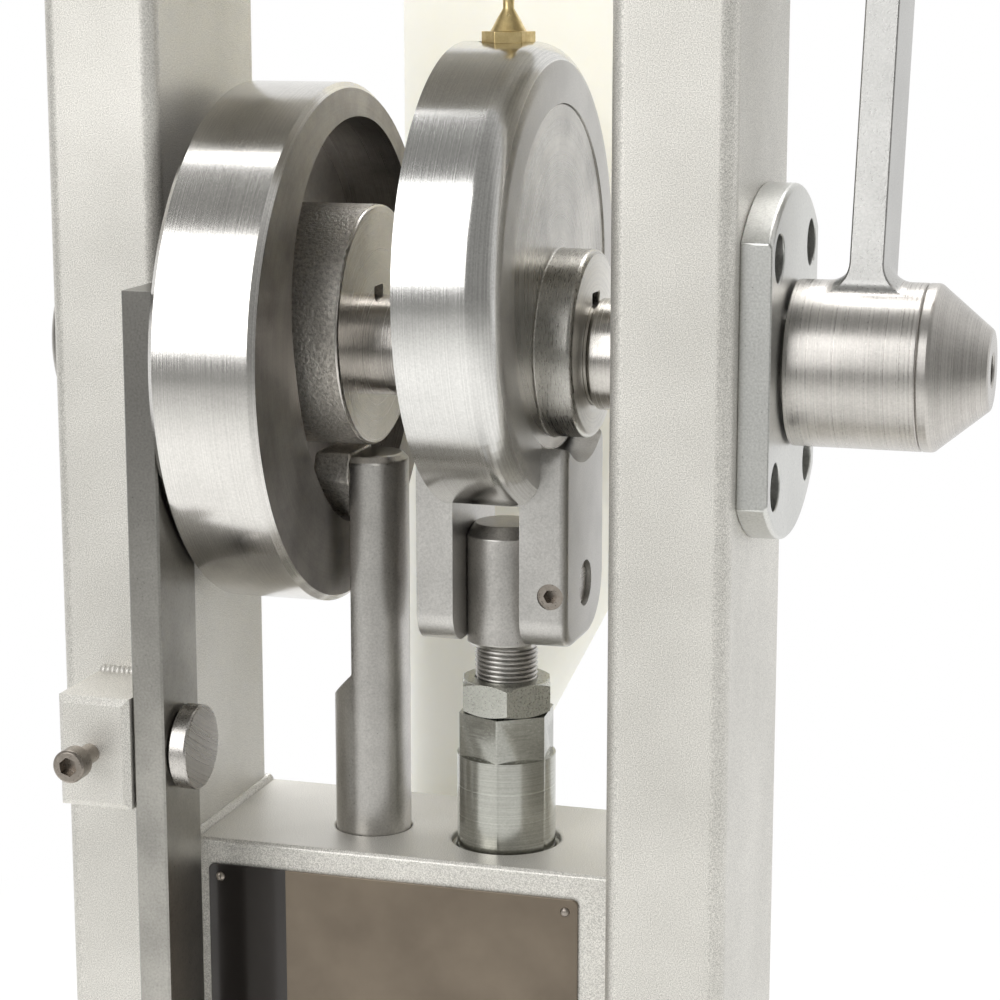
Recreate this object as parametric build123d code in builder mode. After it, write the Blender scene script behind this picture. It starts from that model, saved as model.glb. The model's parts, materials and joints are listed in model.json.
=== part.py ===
from build123d import *
import os
from math import cos, degrees, hypot, pi, radians, sin

# Hand-cranked single-punch tablet press, millimetres.
# X runs along the camshaft towards the crank, Y runs to the back, Z is up.
# The origin is the middle of the bench bolt pattern, on the underside of the base plate.
os.makedirs("parts", exist_ok=True)

# Fits
running_gap = 0.05
seat_gap = 0.02
side_gap = 0.5

# Frame: two welded box columns on a base plate, tied by the guide block and the die table
base_length = 270
base_width = 210
base_thickness = 20
base_corner = 12
base_hole_radius = 5.5
base_hole_inset = 20
column_width = 36.4
column_depth = 80
column_wall = 4
column_corner = 5
column_gap = 137.4
column_front_y = -44
column_top_z = 580
top_plate_thickness = 10
shaft_z = 455

# Guide block that carries the ram and the lift rod
block_front_y = -28.2
block_top_drop = 155
block_height = 85
plate_left_x = -63.4
plate_right_x = 57.3
plate_top_drop = 8
plate_height = 72
plate_thickness = 1

# Die table
table_top_z = 135
table_thickness = 30
table_back_y = 96
die_radius = 15
die_height = 22
bore_radius = 4.05
punch_shank_radius = 8
shank_hole_radius = 9

# Camshaft
shaft_radius = 15.4
journal_radius = 16.8
journal_start_x = 55
journal_chamfer = 2
crank_seat_radius = 13
bearing_pocket_x = -112
key_width = 8
key_depth = 4
key_height = 7

# Bearings on the outer faces of the columns
flange_radius = 52.5
flange_thickness = 9.3
flange_flat_y = 36
flange_hole_radius = 7.1
flange_hole_spacing_y = 50
flange_hole_spacing_z = 66
right_spigot_radius = 24
end_cap_radius = 27
end_cap_thickness = 9
left_spigot_radius = 20

# Cam drum: a groove on the right lifts the rod, a groove on the left swings the lever
drum_left_x = -57.5
drum_right_x = -24.7
drum_radius = 80
drum_chamfer = 1.8
cavity_depth = 20.3
boss_radius = 37
boss_rise = 6.1
boss_right_x = -15.1

# Eccentric sheave and its strap
eccentricity = 22.5
sheave_left_x = 13.6
sheave_right_x = 42.5
sheave_radius = 52
sheave_hub_radius = 28.4
sheave_hub_rise = 3
sheave_hub_right_x = 54
strap_left_x = 13
strap_right_x = 43
strap_radius = 70
strap_edge_radius = 9
strap_blend = 9
clevis_edge_radius = 2.5
clevis_left_x = 4
clevis_right_x = 51.2
clevis_half_depth = 22
clevis_top_drop = 24
clevis_bottom_drop = 88.3
clevis_front_corner = 10
clevis_back_corner = 18
clevis_shoulder = 7
clevis_slot_width = 21
clevis_slot_drop = 44
clevis_pin_drop = 71
clevis_pin_radius = 7.1
set_screw_inset = 5.1
set_screw_radius = 4
cheek_relief_radius = 33
oiler_x = 26.5
oiler_hex_width = 14

# Ram line, on the centre of the clevis slot
ram_x = 26
ram_radius = 15.45
ram_bush_radius = 17.2
bush_recess = 2
ram_hex_width = 27
ram_hex_turn = -85
nut_hex_turn = -73
nut_height = 10.5
hex_drop = 126.8
nut_drop = 113
nut_chamfer_radius = 13.2
rod_end_top_drop = 53.3
rod_end_bottom_drop = 91.6
rod_end_radius = 13
rod_end_flats = 20.6
stem_depth = 22
thread_radius = 9.8
ram_stroke = 2 * eccentricity
punch_entry = 6
punch_tip_length = 12
tip_radius = 4
ram_end_drop = 10
punch_socket_depth = 28

# Lift rod line
rod_x = -18.3
rod_radius = 12
rod_top_drop = 33.7
rod_tail = 15
rod_flat_x = -21.4
rod_flat_drop = 112
follower_left_x = -33.2
follower_half_depth = 12
follower_drops = (33, 38.5, 41.5, 54.5)
lift_stroke = 12
yoke_drop = 26
yoke_height = 24
yoke_rod_radius = 21
yoke_punch_radius = 16
adjuster_radius = 20
adjuster_height = 8

# Feed lever in the gap between the left column and the drum
lever_thickness = 10
lever_width = 26
lever_y = -59.2
lever_top_rise = 23
lever_foot_gap = 2
pivot_drop = 115.4
pivot_radius = 6
pivot_head_radius = 12.8
pivot_head_thickness = 6.4
roller_radius = 5
roller_rise = 8
roller_track_gap = 0.4
roller_throw = 11.5
lever_groove_depth = 8
foot_pin_radius = 3
foot_pin_rise = 9

# Lever bracket on the front of the left column
bracket_left_x = -91.5
bracket_front_y = -75
bracket_height = 34
clamp_screw_x = -81
clamp_screw_radius = 3
clamp_head_radius = 5

# Feed shoe on the die table
shoe_height = 18
shoe_wall = 3
shoe_inner_width = 30
shoe_front_y = -8
shoe_lip = 2
shoe_lip_height = 5
shoe_back_y = 76
shoe_notch_width = 19
rail_width = 5.4
rail_height = 8
link_height = 8
link_depth = 8
link_reach = 24

# Hopper behind the columns
hopper_x = -2
hopper_y = 148
hopper_radius = 52
hopper_bin_height = 208
hopper_cone_height = 149
hopper_outlet_x = -41
hopper_outlet_rise = 33
hopper_outlet_radius = 14.5
hopper_wall = 2.5
spout_radius = 12
shelf_thickness = 4
shelf_half_width = 55
shelf_root_depth = 14
shelf_margin = 24
shelf_flange_height = 26
shelf_screw_x = 42
shelf_screw_radius = 3.3
tube_radius = 14
tube_wall = 2
tube_end_y = 52
tube_end_gap = 3

# Crank
hub_left_x = 115.3
hub_right_x = 153.4
hub_radius = 24.6
cap_right_x = 172.5
cap_band = 3.4
cap_end_radius = 11.7
cap_hole_radius = 5
arm_left_x = 131.3
arm_right_x = 141.3
arm_root_width = 28
arm_tip_width = 31
arm_length = 190
arm_lean = 13
arm_root_fillet = 7
spindle_radius = 6
grip_length = 96
grip_radius = 16

# Worked-out sizes
column_in_x = column_gap / 2
column_out_x = column_in_x + column_width
column_back_y = column_front_y + column_depth
column_y = column_front_y + column_depth / 2
block_top_z = shaft_z - block_top_drop
block_bottom_z = block_top_z - block_height
table_bottom_z = table_top_z - table_thickness
sheave_z = shaft_z + eccentricity
slot_left_x = ram_x - clevis_slot_width / 2
slot_right_x = ram_x + clevis_slot_width / 2
set_screw_x = clevis_right_x - set_screw_inset
hex_bottom_z = shaft_z - hex_drop
nut_bottom_z = shaft_z - nut_drop
rod_end_top_z = shaft_z - rod_end_top_drop
rod_end_bottom_z = shaft_z - rod_end_bottom_drop
ram_end_z = block_bottom_z - ram_end_drop
yoke_top_z = table_bottom_z - yoke_drop
rod_bottom_z = yoke_top_z - yoke_height - rod_tail
lever_top_z = shaft_z + lever_top_rise
pivot_z = shaft_z - pivot_drop
roller_z = shaft_z + roller_rise
foot_pin_z = table_top_z + foot_pin_rise
hopper_outlet_z = block_bottom_z + hopper_outlet_rise
hopper_cone_top_z = hopper_outlet_z + hopper_cone_height
hopper_top_z = hopper_cone_top_z + hopper_bin_height
shelf_bottom_z = hopper_outlet_z - shelf_thickness
tube_end_z = table_top_z + shoe_height + tube_end_gap
punch_tip_z = table_top_z - punch_entry + ram_stroke
rod_top_z = shaft_z - rod_top_drop
lever_right_x = drum_left_x - 0.7
lever_left_x = lever_right_x - lever_thickness
lever_foot_z = table_top_z + lever_foot_gap
lever_swing = roller_throw / (roller_z - pivot_z)
shoe_stroke = lever_swing * (pivot_z - foot_pin_z)
flange_outer_x = column_out_x + flange_thickness


def round_x(start, end, radius, y=0.0, z=shaft_z, mode=Mode.ADD):
    """A round bar, or a bore, along X."""
    with BuildSketch(Plane.YZ.offset(start)) as disc:
        with Locations((y, z)):
            Circle(radius)
    extrude(disc.sketch, amount=end - start, mode=mode)


def round_y(start, end, radius, x, z, mode=Mode.ADD):
    """A round bar, or a bore, along Y."""
    with BuildSketch(Plane((x, start, z), x_dir=(1, 0, 0), z_dir=(0, 1, 0))) as disc:
        Circle(radius)
    extrude(disc.sketch, amount=end - start, mode=mode)


def round_z(start, end, radius, x, y=0.0, mode=Mode.ADD):
    """A round bar, or a bore, along Z."""
    with BuildSketch(Plane((x, y, start))) as disc:
        Circle(radius)
    extrude(disc.sketch, amount=end - start, mode=mode)


def block_between(x, y, z, mode=Mode.ADD):
    """A square block between two corners, given as (low, high) pairs."""
    with Locations(((x[0] + x[1]) / 2, (y[0] + y[1]) / 2, (z[0] + z[1]) / 2)):
        Box(x[1] - x[0], y[1] - y[0], z[1] - z[0], mode=mode)


def finish(builder, name):
    """Label a finished piece and write its file."""
    builder.part.label = name
    export_step(builder.part, f"parts/{name}.step")


# Base plate with its four bench bolt holes
with BuildPart() as base_plate:
    with BuildSketch():
        RectangleRounded(base_length, base_width, base_corner)
        with GridLocations(base_length - 2 * base_hole_inset, base_width - 2 * base_hole_inset, 2, 2):
            Circle(base_hole_radius, mode=Mode.SUBTRACT)
    extrude(amount=base_thickness)
    chamfer(base_plate.faces().sort_by(Axis.Z)[-1].outer_wire().edges(), 1.5)
finish(base_plate, "base_plate")


def column(side, bore_radius_x, name):
    """A box-section column with the bore for its camshaft bearing."""
    with BuildPart() as tube:
        with BuildSketch(Plane.XY.offset(base_thickness)):
            with Locations((side * (column_in_x + column_width / 2), column_y)):
                RectangleRounded(column_width, column_depth, column_corner)
                Rectangle(column_width - 2 * column_wall, column_depth - 2 * column_wall,
                          mode=Mode.SUBTRACT)
        extrude(amount=column_top_z - base_thickness)
        round_x(side * (column_in_x - 1), side * (column_out_x + 1), bore_radius_x, mode=Mode.SUBTRACT)
        if side > 0:
            for y in (-flange_hole_spacing_y / 2, flange_hole_spacing_y / 2):
                for z in (-flange_hole_spacing_z / 2, flange_hole_spacing_z / 2):
                    round_x(column_out_x - column_wall - 1, column_out_x + 1, flange_hole_radius,
                            y, shaft_z + z, mode=Mode.SUBTRACT)
    finish(tube, name)


column(-1, left_spigot_radius + seat_gap, "column_left")
column(1, right_spigot_radius + seat_gap, "column_right")

with BuildPart() as top_plate:
    with BuildSketch(Plane.XY.offset(column_top_z)):
        with Locations((0, column_y)):
            RectangleRounded(2 * column_out_x, column_depth, column_corner)
    extrude(amount=top_plate_thickness)
    chamfer(top_plate.faces().sort_by(Axis.Z)[-1].edges(), 1.5)
finish(top_plate, "top_plate")

# Guide block: one bore for the ram bush, one for the lift rod
with BuildPart() as guide_block:
    block_between((-column_in_x, column_in_x), (block_front_y, column_back_y),
                  (block_bottom_z, block_top_z))
    front_edges = guide_block.faces().sort_by(Axis.Y)[0].edges().filter_by(Axis.X)
    chamfer(front_edges, 1)
    round_z(block_bottom_z, block_top_z, ram_bush_radius + seat_gap, ram_x, mode=Mode.SUBTRACT)
    round_z(block_bottom_z, block_top_z, rod_radius + running_gap, rod_x, mode=Mode.SUBTRACT)
    mouths = guide_block.faces().sort_by(Axis.Z)[-1].inner_wires()
    chamfer([mouths[0].edges(), mouths[1].edges()], 0.6)
finish(guide_block, "guide_block")

with BuildPart() as ram_bush:
    round_z(block_bottom_z, block_top_z - bush_recess, ram_bush_radius, ram_x)
    round_z(block_bottom_z, block_top_z, ram_radius + running_gap, ram_x, mode=Mode.SUBTRACT)
    mouth = ram_bush.faces().sort_by(Axis.Z)[-1].inner_wires()[0].edges()
    chamfer(mouth, 0.6)
finish(ram_bush, "ram_bush")

with BuildPart() as data_plate:
    block_between((plate_left_x, plate_right_x), (block_front_y - plate_thickness, block_front_y),
                  (block_top_z - plate_top_drop - plate_height, block_top_z - plate_top_drop))
    fillet(data_plate.edges().filter_by(Axis.Y), 2)
finish(data_plate, "data_plate")

# Right bearing: a round flange with two flats and a spigot through the column
with BuildPart() as bearing_right:
    round_x(column_out_x, flange_outer_x, flange_radius)
    chamfer(bearing_right.faces().sort_by(Axis.X)[-1].edges(), 1)
    for side in (-1, 1):
        edge = side * flange_flat_y
        far = side * (flange_radius + 1)
        block_between((column_out_x - 1, flange_outer_x + 1), (min(edge, far), max(edge, far)),
                      (shaft_z - flange_radius, shaft_z + flange_radius), mode=Mode.SUBTRACT)
    for y in (-flange_hole_spacing_y / 2, flange_hole_spacing_y / 2):
        for z in (-flange_hole_spacing_z / 2, flange_hole_spacing_z / 2):
            round_x(column_out_x - 1, flange_outer_x + 1, flange_hole_radius,
                    y, shaft_z + z, mode=Mode.SUBTRACT)
    round_x(column_in_x, column_out_x, right_spigot_radius)
    round_x(column_in_x, flange_outer_x, journal_radius + running_gap, mode=Mode.SUBTRACT)
finish(bearing_right, "bearing_right")

with BuildPart() as bearing_left:
    round_x(-column_out_x - end_cap_thickness, -column_out_x, end_cap_radius)
    fillet(bearing_left.faces().sort_by(Axis.X)[0].edges(), 3)
    round_x(-column_out_x, -column_in_x, left_spigot_radius)
    round_x(bearing_pocket_x, -column_in_x, shaft_radius + running_gap, mode=Mode.SUBTRACT)
finish(bearing_left, "bearing_left")

# Die table with its die, locked from the front
with BuildPart() as die_table:
    block_between((-column_in_x, column_in_x), (column_front_y, table_back_y),
                  (table_bottom_z, table_top_z))
    chamfer(die_table.faces().sort_by(Axis.Y)[0].edges().filter_by(Axis.X), 1)
    round_z(table_top_z - die_height, table_top_z, die_radius + seat_gap, ram_x, mode=Mode.SUBTRACT)
    round_z(table_bottom_z, table_top_z, shank_hole_radius, ram_x, mode=Mode.SUBTRACT)
    round_z(table_bottom_z, table_top_z, rod_radius + side_gap, rod_x, mode=Mode.SUBTRACT)
    die_screw_radius = 3
    die_screw_z = table_top_z - die_height + 4.5
    round_y(column_front_y, -die_radius + 1, die_screw_radius + seat_gap, ram_x, die_screw_z,
            mode=Mode.SUBTRACT)
finish(die_table, "die_table")

with BuildPart() as die:
    round_z(table_top_z - die_height, table_top_z, die_radius, ram_x)
    round_z(table_top_z - die_height, table_top_z, bore_radius, ram_x, mode=Mode.SUBTRACT)
    chamfer(die.faces().sort_by(Axis.Z)[0].outer_wire().edges(), 0.8)
finish(die, "die")


def socket_screw_y(start, end, radius, x, z, name):
    """A grub screw along Y with a hexagon socket in its front end."""
    with BuildPart() as screw:
        round_y(start, end, radius, x, z)
        with BuildSketch(Plane((x, start, z), x_dir=(1, 0, 0), z_dir=(0, 1, 0))) as socket:
            RegularPolygon(radius * 0.55, 6)
        extrude(socket.sketch, amount=radius, mode=Mode.SUBTRACT)
    finish(screw, name)


socket_screw_y(column_front_y + 1, -die_radius - 0.1, die_screw_radius, ram_x, die_screw_z,
               "die_lock_screw")

# Chute that takes the pushed-off tablets away from the front of the table
chute_wall = 2
chute_width = 34
chute_reach = 62
chute_fall = 34
chute_side = 9
with BuildPart() as tablet_chute:
    chute_top = table_top_z - 1.5
    out_y = column_front_y - chute_reach
    with BuildSketch(Plane.YZ.offset(ram_x - chute_width / 2)):
        with BuildLine():
            Polyline((column_front_y, chute_top), (column_front_y, chute_top - 11),
                     (column_front_y - chute_wall, chute_top - 11),
                     (column_front_y - chute_wall, chute_top - 3), (out_y, chute_top - chute_fall),
                     (out_y, chute_top - chute_fall + chute_side), (column_front_y - 8, chute_top + 2),
                     (column_front_y - 3, chute_top), close=True)
        make_face()
    extrude(amount=chute_width)
    inner = chute_width - 2 * chute_wall
    with BuildSketch(Plane.YZ.offset(ram_x - inner / 2)):
        with BuildLine():
            Polyline((column_front_y + 1, chute_top), (column_front_y - chute_wall, chute_top),
                     (out_y - 1, chute_top - chute_fall + 1.5), (out_y - 1, chute_top + 10),
                     (column_front_y + 1, chute_top + 10), close=True)
        make_face()
    extrude(amount=inner, mode=Mode.SUBTRACT)
finish(tablet_chute, "tablet_chute")

# Rails each side of the feed shoe
shoe_half = shoe_inner_width / 2 + shoe_wall
for side, name in ((-1, "shoe_rail_left"), (1, "shoe_rail_right")):
    with BuildPart() as rail:
        near = ram_x + side * (shoe_half + 0.3)
        far = near + side * rail_width
        block_between((min(near, far), max(near, far)), (0, table_back_y),
                      (table_top_z, table_top_z + rail_height))
        chamfer(rail.faces().sort_by(Axis.Z)[-1].edges(), 0.6)
    finish(rail, name)

# Lever bracket, pivot pin and clamp screw
with BuildPart() as lever_bracket:
    bracket_right_x = lever_left_x - side_gap
    block_between((bracket_left_x, bracket_right_x), (bracket_front_y, column_front_y),
                  (pivot_z - bracket_height / 2, pivot_z + bracket_height / 2))
    chamfer(lever_bracket.faces().sort_by(Axis.Y)[0].edges(), 2)
    round_x(bracket_left_x, bracket_right_x, pivot_radius + seat_gap, lever_y, pivot_z,
            mode=Mode.SUBTRACT)
    round_y(bracket_front_y, lever_y, clamp_screw_radius + seat_gap, clamp_screw_x, pivot_z,
            mode=Mode.SUBTRACT)
finish(lever_bracket, "lever_bracket")

with BuildPart() as lever_pivot:
    head_x = lever_right_x + 0.3
    round_x(bracket_left_x, head_x + 1, pivot_radius, lever_y, pivot_z)
    round_x(head_x, head_x + 0.8, pivot_head_radius - 1.5, lever_y, pivot_z)
    round_x(head_x + 0.8, head_x + pivot_head_thickness, pivot_head_radius, lever_y, pivot_z)
    chamfer(lever_pivot.faces().sort_by(Axis.X)[-1].edges(), 0.5)
finish(lever_pivot, "lever_pivot")

with BuildPart() as clamp_screw:
    head_back_y = bracket_front_y - 9
    head_front_y = head_back_y - 2 * clamp_screw_radius
    round_y(head_back_y, lever_y - pivot_radius - 0.05, clamp_screw_radius, clamp_screw_x, pivot_z)
    round_y(head_front_y, head_back_y, clamp_head_radius, clamp_screw_x, pivot_z)
    chamfer(clamp_screw.faces().sort_by(Axis.Y)[0].edges(), 0.6)
    with BuildSketch(Plane((clamp_screw_x, head_front_y, pivot_z), x_dir=(1, 0, 0),
                           z_dir=(0, 1, 0))):
        RegularPolygon(2.9, 6, rotation=20)
    extrude(amount=4, mode=Mode.SUBTRACT)
finish(clamp_screw, "clamp_screw")

# Hopper: a round bin whose cone leans to an outlet left of the middle
with BuildPart() as hopper:
    def hopper_solid(inset, outlet_radius, mode):
        """The bin, its leaning cone and its spout, each wall set in by the inset."""
        with BuildSketch(Plane((hopper_x, hopper_y, hopper_cone_top_z))) as mouth:
            Circle(hopper_radius - inset)
        with BuildSketch(Plane((hopper_outlet_x, hopper_y, hopper_outlet_z + inset))) as outlet:
            Circle(outlet_radius)
        extrude(mouth.sketch, amount=hopper_top_z - hopper_cone_top_z, mode=mode)
        loft([mouth.sketch.face(), outlet.sketch.face()], mode=mode)
        round_z(shelf_bottom_z, hopper_outlet_z + inset, spout_radius - inset,
                hopper_outlet_x, hopper_y, mode=mode)

    hopper_solid(0, hopper_outlet_radius, Mode.ADD)
    hopper_solid(hopper_wall, spout_radius - hopper_wall, Mode.SUBTRACT)
finish(hopper, "hopper")

# Shelf that carries the hopper, screwed to the back of the guide block
with BuildPart() as hopper_bracket:
    root_y = column_back_y + shelf_root_depth
    shelf_back_y = hopper_y + shelf_margin
    with BuildSketch(Plane.XY.offset(shelf_bottom_z)):
        with BuildLine():
            Polyline((-shelf_half_width, column_back_y), (shelf_half_width, column_back_y),
                     (shelf_half_width, root_y), (hopper_outlet_x + shelf_margin, hopper_y),
                     (hopper_outlet_x + shelf_margin, shelf_back_y),
                     (hopper_outlet_x - shelf_margin, shelf_back_y),
                     (hopper_outlet_x - shelf_margin, hopper_y), (-shelf_half_width, root_y), close=True)
        make_face()
        with Locations((hopper_outlet_x, hopper_y)):
            Circle(spout_radius + 0.3, mode=Mode.SUBTRACT)
    extrude(amount=shelf_thickness)
    fillet(hopper_bracket.edges().filter_by(Axis.Z).group_by(Axis.Y)[-1], 8)
    block_between((-shelf_half_width, shelf_half_width), (column_back_y, column_back_y + shelf_thickness),
                  (shelf_bottom_z - shelf_flange_height, shelf_bottom_z))
    for x in (-shelf_screw_x, shelf_screw_x):
        round_y(column_back_y - 1, column_back_y + shelf_thickness + 1, shelf_screw_radius, x,
                shelf_bottom_z - shelf_flange_height / 2, mode=Mode.SUBTRACT)
finish(hopper_bracket, "hopper_bracket")

# Feed tube, straight from under the shelf to just above the shoe, cut level at both ends
tube_way = Vector(ram_x - hopper_outlet_x, tube_end_y - hopper_y, tube_end_z - shelf_bottom_z)
with BuildPart() as feed_tube:
    spare = tube_way.normalized() * 2 * tube_radius
    tube_start = Vector(hopper_outlet_x, hopper_y, shelf_bottom_z) - spare
    with BuildSketch(Plane(tube_start, z_dir=tube_way)):
        Circle(tube_radius)
        Circle(tube_radius - tube_wall, mode=Mode.SUBTRACT)
    extrude(amount=tube_way.length + 2 * spare.length)
    split(bisect_by=Plane.XY.offset(shelf_bottom_z), keep=Keep.BOTTOM)
    split(bisect_by=Plane.XY.offset(tube_end_z), keep=Keep.TOP)
finish(feed_tube, "feed_tube")


def keyway(start, end, outward, mode=Mode.SUBTRACT):
    """The slot for a key at the top of the shaft, from the key's seat out to a height."""
    block_between((start, end), (-key_width / 2, key_width / 2),
                  (shaft_z + shaft_radius - key_depth, shaft_z + shaft_radius + outward), mode=mode)


# Camshaft: drum and sheave seats, a thicker right journal and the crank seat
drum_key_x = (drum_left_x + 4, boss_right_x - 3)
sheave_key_x = (sheave_left_x + 4, sheave_hub_right_x - 5)
with BuildPart() as camshaft:
    round_x(bearing_pocket_x + 0.5, journal_start_x + 1, shaft_radius)
    round_x(journal_start_x, hub_left_x, journal_radius)
    chamfer(camshaft.faces().filter_by(Plane.YZ).filter_by(
        lambda face: abs(face.center().X - journal_start_x) < 0.1).edges().sort_by(SortBy.RADIUS)[-1],
        journal_chamfer - 0.8)
    round_x(hub_left_x, hub_right_x - 6, crank_seat_radius)
    keyway(*drum_key_x, 1)
    keyway(*sheave_key_x, 1)
    block_between((hub_left_x + 4, hub_right_x - 10), (-3, 3),
                  (shaft_z - crank_seat_radius - 1, shaft_z - crank_seat_radius + 3.5),
                  mode=Mode.SUBTRACT)
finish(camshaft, "camshaft")

for span, name in ((drum_key_x, "drum_key"), (sheave_key_x, "sheave_key")):
    with BuildPart() as key:
        block_between(span, (-key_width / 2, key_width / 2),
                      (shaft_z + shaft_radius - key_depth,
                       shaft_z + shaft_radius - key_depth + key_height))
    finish(key, name)

with BuildPart() as crank_key:
    block_between((hub_left_x + 4, hub_right_x - 10), (-3, 3),
                  (shaft_z - crank_seat_radius - 2.5, shaft_z - crank_seat_radius + 3.5))
finish(crank_key, "crank_key")

# Right-hand cam track of the drum, seen from the crank side.
# Each pair is an angle from the bottom towards the front, in degrees, and the inner rim radius.
rim_track = [(0, 56.5), (20, 51.8), (45, 46.7), (65, 45.2), (85, 46.4), (105, 50.8), (135, 59.5),
             (162, 66.2), (185, 69.5), (205, 71.5), (230, 71), (270, 67), (315, 61.5), (345, 58.6)]


def from_bottom(angle, radius):
    """A point of the YZ plane, with its angle from the bottom towards the front."""
    return (-radius * sin(radians(angle)), shaft_z - radius * cos(radians(angle)))


def lever_share(turn):
    """Share of the lever's throw at a crank turn, straight for half a turn, then back."""
    if turn <= pi:
        return turn / pi
    s = turn / pi - 1
    return 4 * s ** 3 - 6 * s ** 2 + s + 1


def lever_track(offset, count=36):
    """Points of the left-hand groove, offset from the path of the roller's middle."""
    points = []
    arm = roller_z - pivot_z
    for step in range(count):
        turn = 2 * pi * step / count
        swing = lever_swing * lever_share(turn)
        y = lever_y - arm * sin(swing)
        z = pivot_z + arm * cos(swing) - shaft_z
        radius = hypot(y, z)
        y, z = y * (radius + offset) / radius, z * (radius + offset) / radius
        points.append((y * cos(turn) - z * sin(turn), shaft_z + y * sin(turn) + z * cos(turn)))
    return points


with BuildPart() as cam_drum:
    round_x(drum_left_x, drum_right_x, drum_radius)
    chamfer(cam_drum.edges().filter_by(GeomType.CIRCLE), drum_chamfer)
    with BuildSketch(Plane.YZ.offset(drum_right_x - cavity_depth)):
        with BuildLine():
            Spline([from_bottom(*knot) for knot in rim_track], periodic=True)
        make_face()
    extrude(amount=cavity_depth, mode=Mode.SUBTRACT)
    round_x(drum_right_x - cavity_depth, boss_right_x, boss_radius, 0, shaft_z + boss_rise)
    fillet(cam_drum.faces().sort_by(Axis.X)[-1].edges(), 1)
    with BuildSketch(Plane.YZ.offset(drum_left_x)):
        with BuildLine():
            Spline(lever_track(roller_radius + roller_track_gap), periodic=True)
        make_face()
        with BuildLine():
            Spline(lever_track(-roller_radius - roller_track_gap), periodic=True)
        make_face(mode=Mode.SUBTRACT)
    extrude(amount=lever_groove_depth, mode=Mode.SUBTRACT)
    round_x(drum_left_x, boss_right_x, shaft_radius + seat_gap, mode=Mode.SUBTRACT)
    keyway(drum_key_x[0], boss_right_x, key_height - key_depth)
finish(cam_drum, "cam_drum")

with BuildPart() as eccentric_sheave:
    round_x(sheave_left_x, sheave_right_x, sheave_radius, 0, sheave_z)
    round_x(sheave_right_x, sheave_hub_right_x, sheave_hub_radius, 0, shaft_z + sheave_hub_rise)
    chamfer(eccentric_sheave.faces().sort_by(Axis.X)[-1].edges(), 1)
    round_x(sheave_left_x, sheave_hub_right_x, shaft_radius + seat_gap, mode=Mode.SUBTRACT)
    keyway(sheave_key_x[0], sheave_hub_right_x, key_height - key_depth)
finish(eccentric_sheave, "eccentric_sheave")

# Strap: a ring round the sheave, rounded over on the right, that flows into the clevis
with BuildPart() as eccentric_strap:
    with BuildSketch(Plane.YZ.offset(strap_left_x)) as neck:
        with Locations((0, sheave_z)):
            Circle(strap_radius)
        with Locations((0, shaft_z - (clevis_top_drop + clevis_bottom_drop) / 2)):
            Rectangle(2 * clevis_half_depth, clevis_bottom_drop - clevis_top_drop)
        waist = neck.vertices().sort_by(lambda v: abs(abs(v.Y) - clevis_half_depth)
                                        + abs(hypot(v.Y, v.Z - sheave_z) - strap_radius))[:2]
        fillet(waist, strap_blend)
        with Locations((0, shaft_z - clevis_bottom_drop)):
            Rectangle(2 * strap_radius, 2 * (clevis_bottom_drop - clevis_slot_drop - strap_blend - 2),
                      mode=Mode.SUBTRACT)
    extrude(neck.sketch, amount=strap_right_x - strap_left_x)
    rim = eccentric_strap.faces().sort_by(Axis.X)[-1].outer_wire().edges()
    fillet(rim.sort_by(Axis.Z)[1:], strap_edge_radius)
    with BuildSketch(Plane.YZ.offset(clevis_left_x)) as cheek:
        with Locations((0, shaft_z - (clevis_top_drop + clevis_bottom_drop) / 2)):
            Rectangle(2 * clevis_half_depth, clevis_bottom_drop - clevis_top_drop)
        fillet(cheek.vertices().group_by(Axis.Y)[-1], clevis_shoulder)
        low = cheek.vertices().group_by(Axis.Y)[0].sort_by(Axis.X)
        fillet(low[0], clevis_front_corner)
        fillet(cheek.vertices().group_by(Axis.Y)[0].sort_by(Axis.X)[-1], clevis_back_corner)
    extrude(cheek.sketch, amount=clevis_right_x - clevis_left_x)
    fillet(eccentric_strap.faces().sort_by(Axis.X)[-1].outer_wire().edges(), clevis_edge_radius)
    block_between((slot_left_x, slot_right_x), (-clevis_half_depth - 1, clevis_half_depth + 1),
                  (shaft_z - clevis_bottom_drop - 1, shaft_z - clevis_slot_drop), mode=Mode.SUBTRACT)
    round_x(strap_left_x, sheave_right_x + side_gap, sheave_radius + running_gap, 0, sheave_z,
            mode=Mode.SUBTRACT)
    round_x(sheave_right_x - 3, clevis_right_x + 1, cheek_relief_radius, mode=Mode.SUBTRACT)
    round_x(clevis_left_x, clevis_right_x, clevis_pin_radius + seat_gap, 0, shaft_z - clevis_pin_drop,
            mode=Mode.SUBTRACT)
    round_y(-clevis_half_depth, -clevis_pin_radius + 1, set_screw_radius, set_screw_x, shaft_z - clevis_pin_drop,
            mode=Mode.SUBTRACT)
    oiler_seat_z = sheave_z + strap_radius - 0.6
    round_z(oiler_seat_z, sheave_z + strap_radius + 1, 9, oiler_x, mode=Mode.SUBTRACT)
    round_z(sheave_z + sheave_radius + 1, oiler_seat_z, 3 + seat_gap, oiler_x, mode=Mode.SUBTRACT)
finish(eccentric_strap, "eccentric_strap")

for name, start, end in (("clevis_pin_left", clevis_left_x + 1.5, slot_left_x - 0.2),
                         ("clevis_pin_right", slot_right_x + 0.2, clevis_right_x - 1.5)):
    with BuildPart() as pin:
        round_x(start, end, clevis_pin_radius, 0, shaft_z - clevis_pin_drop)
        chamfer(pin.edges().filter_by(GeomType.CIRCLE), 0.6)
    finish(pin, name)

socket_screw_y(-clevis_half_depth + 0.5, -clevis_pin_radius - 0.05, set_screw_radius - seat_gap, set_screw_x,
               shaft_z - clevis_pin_drop, "clevis_set_screw")

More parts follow.
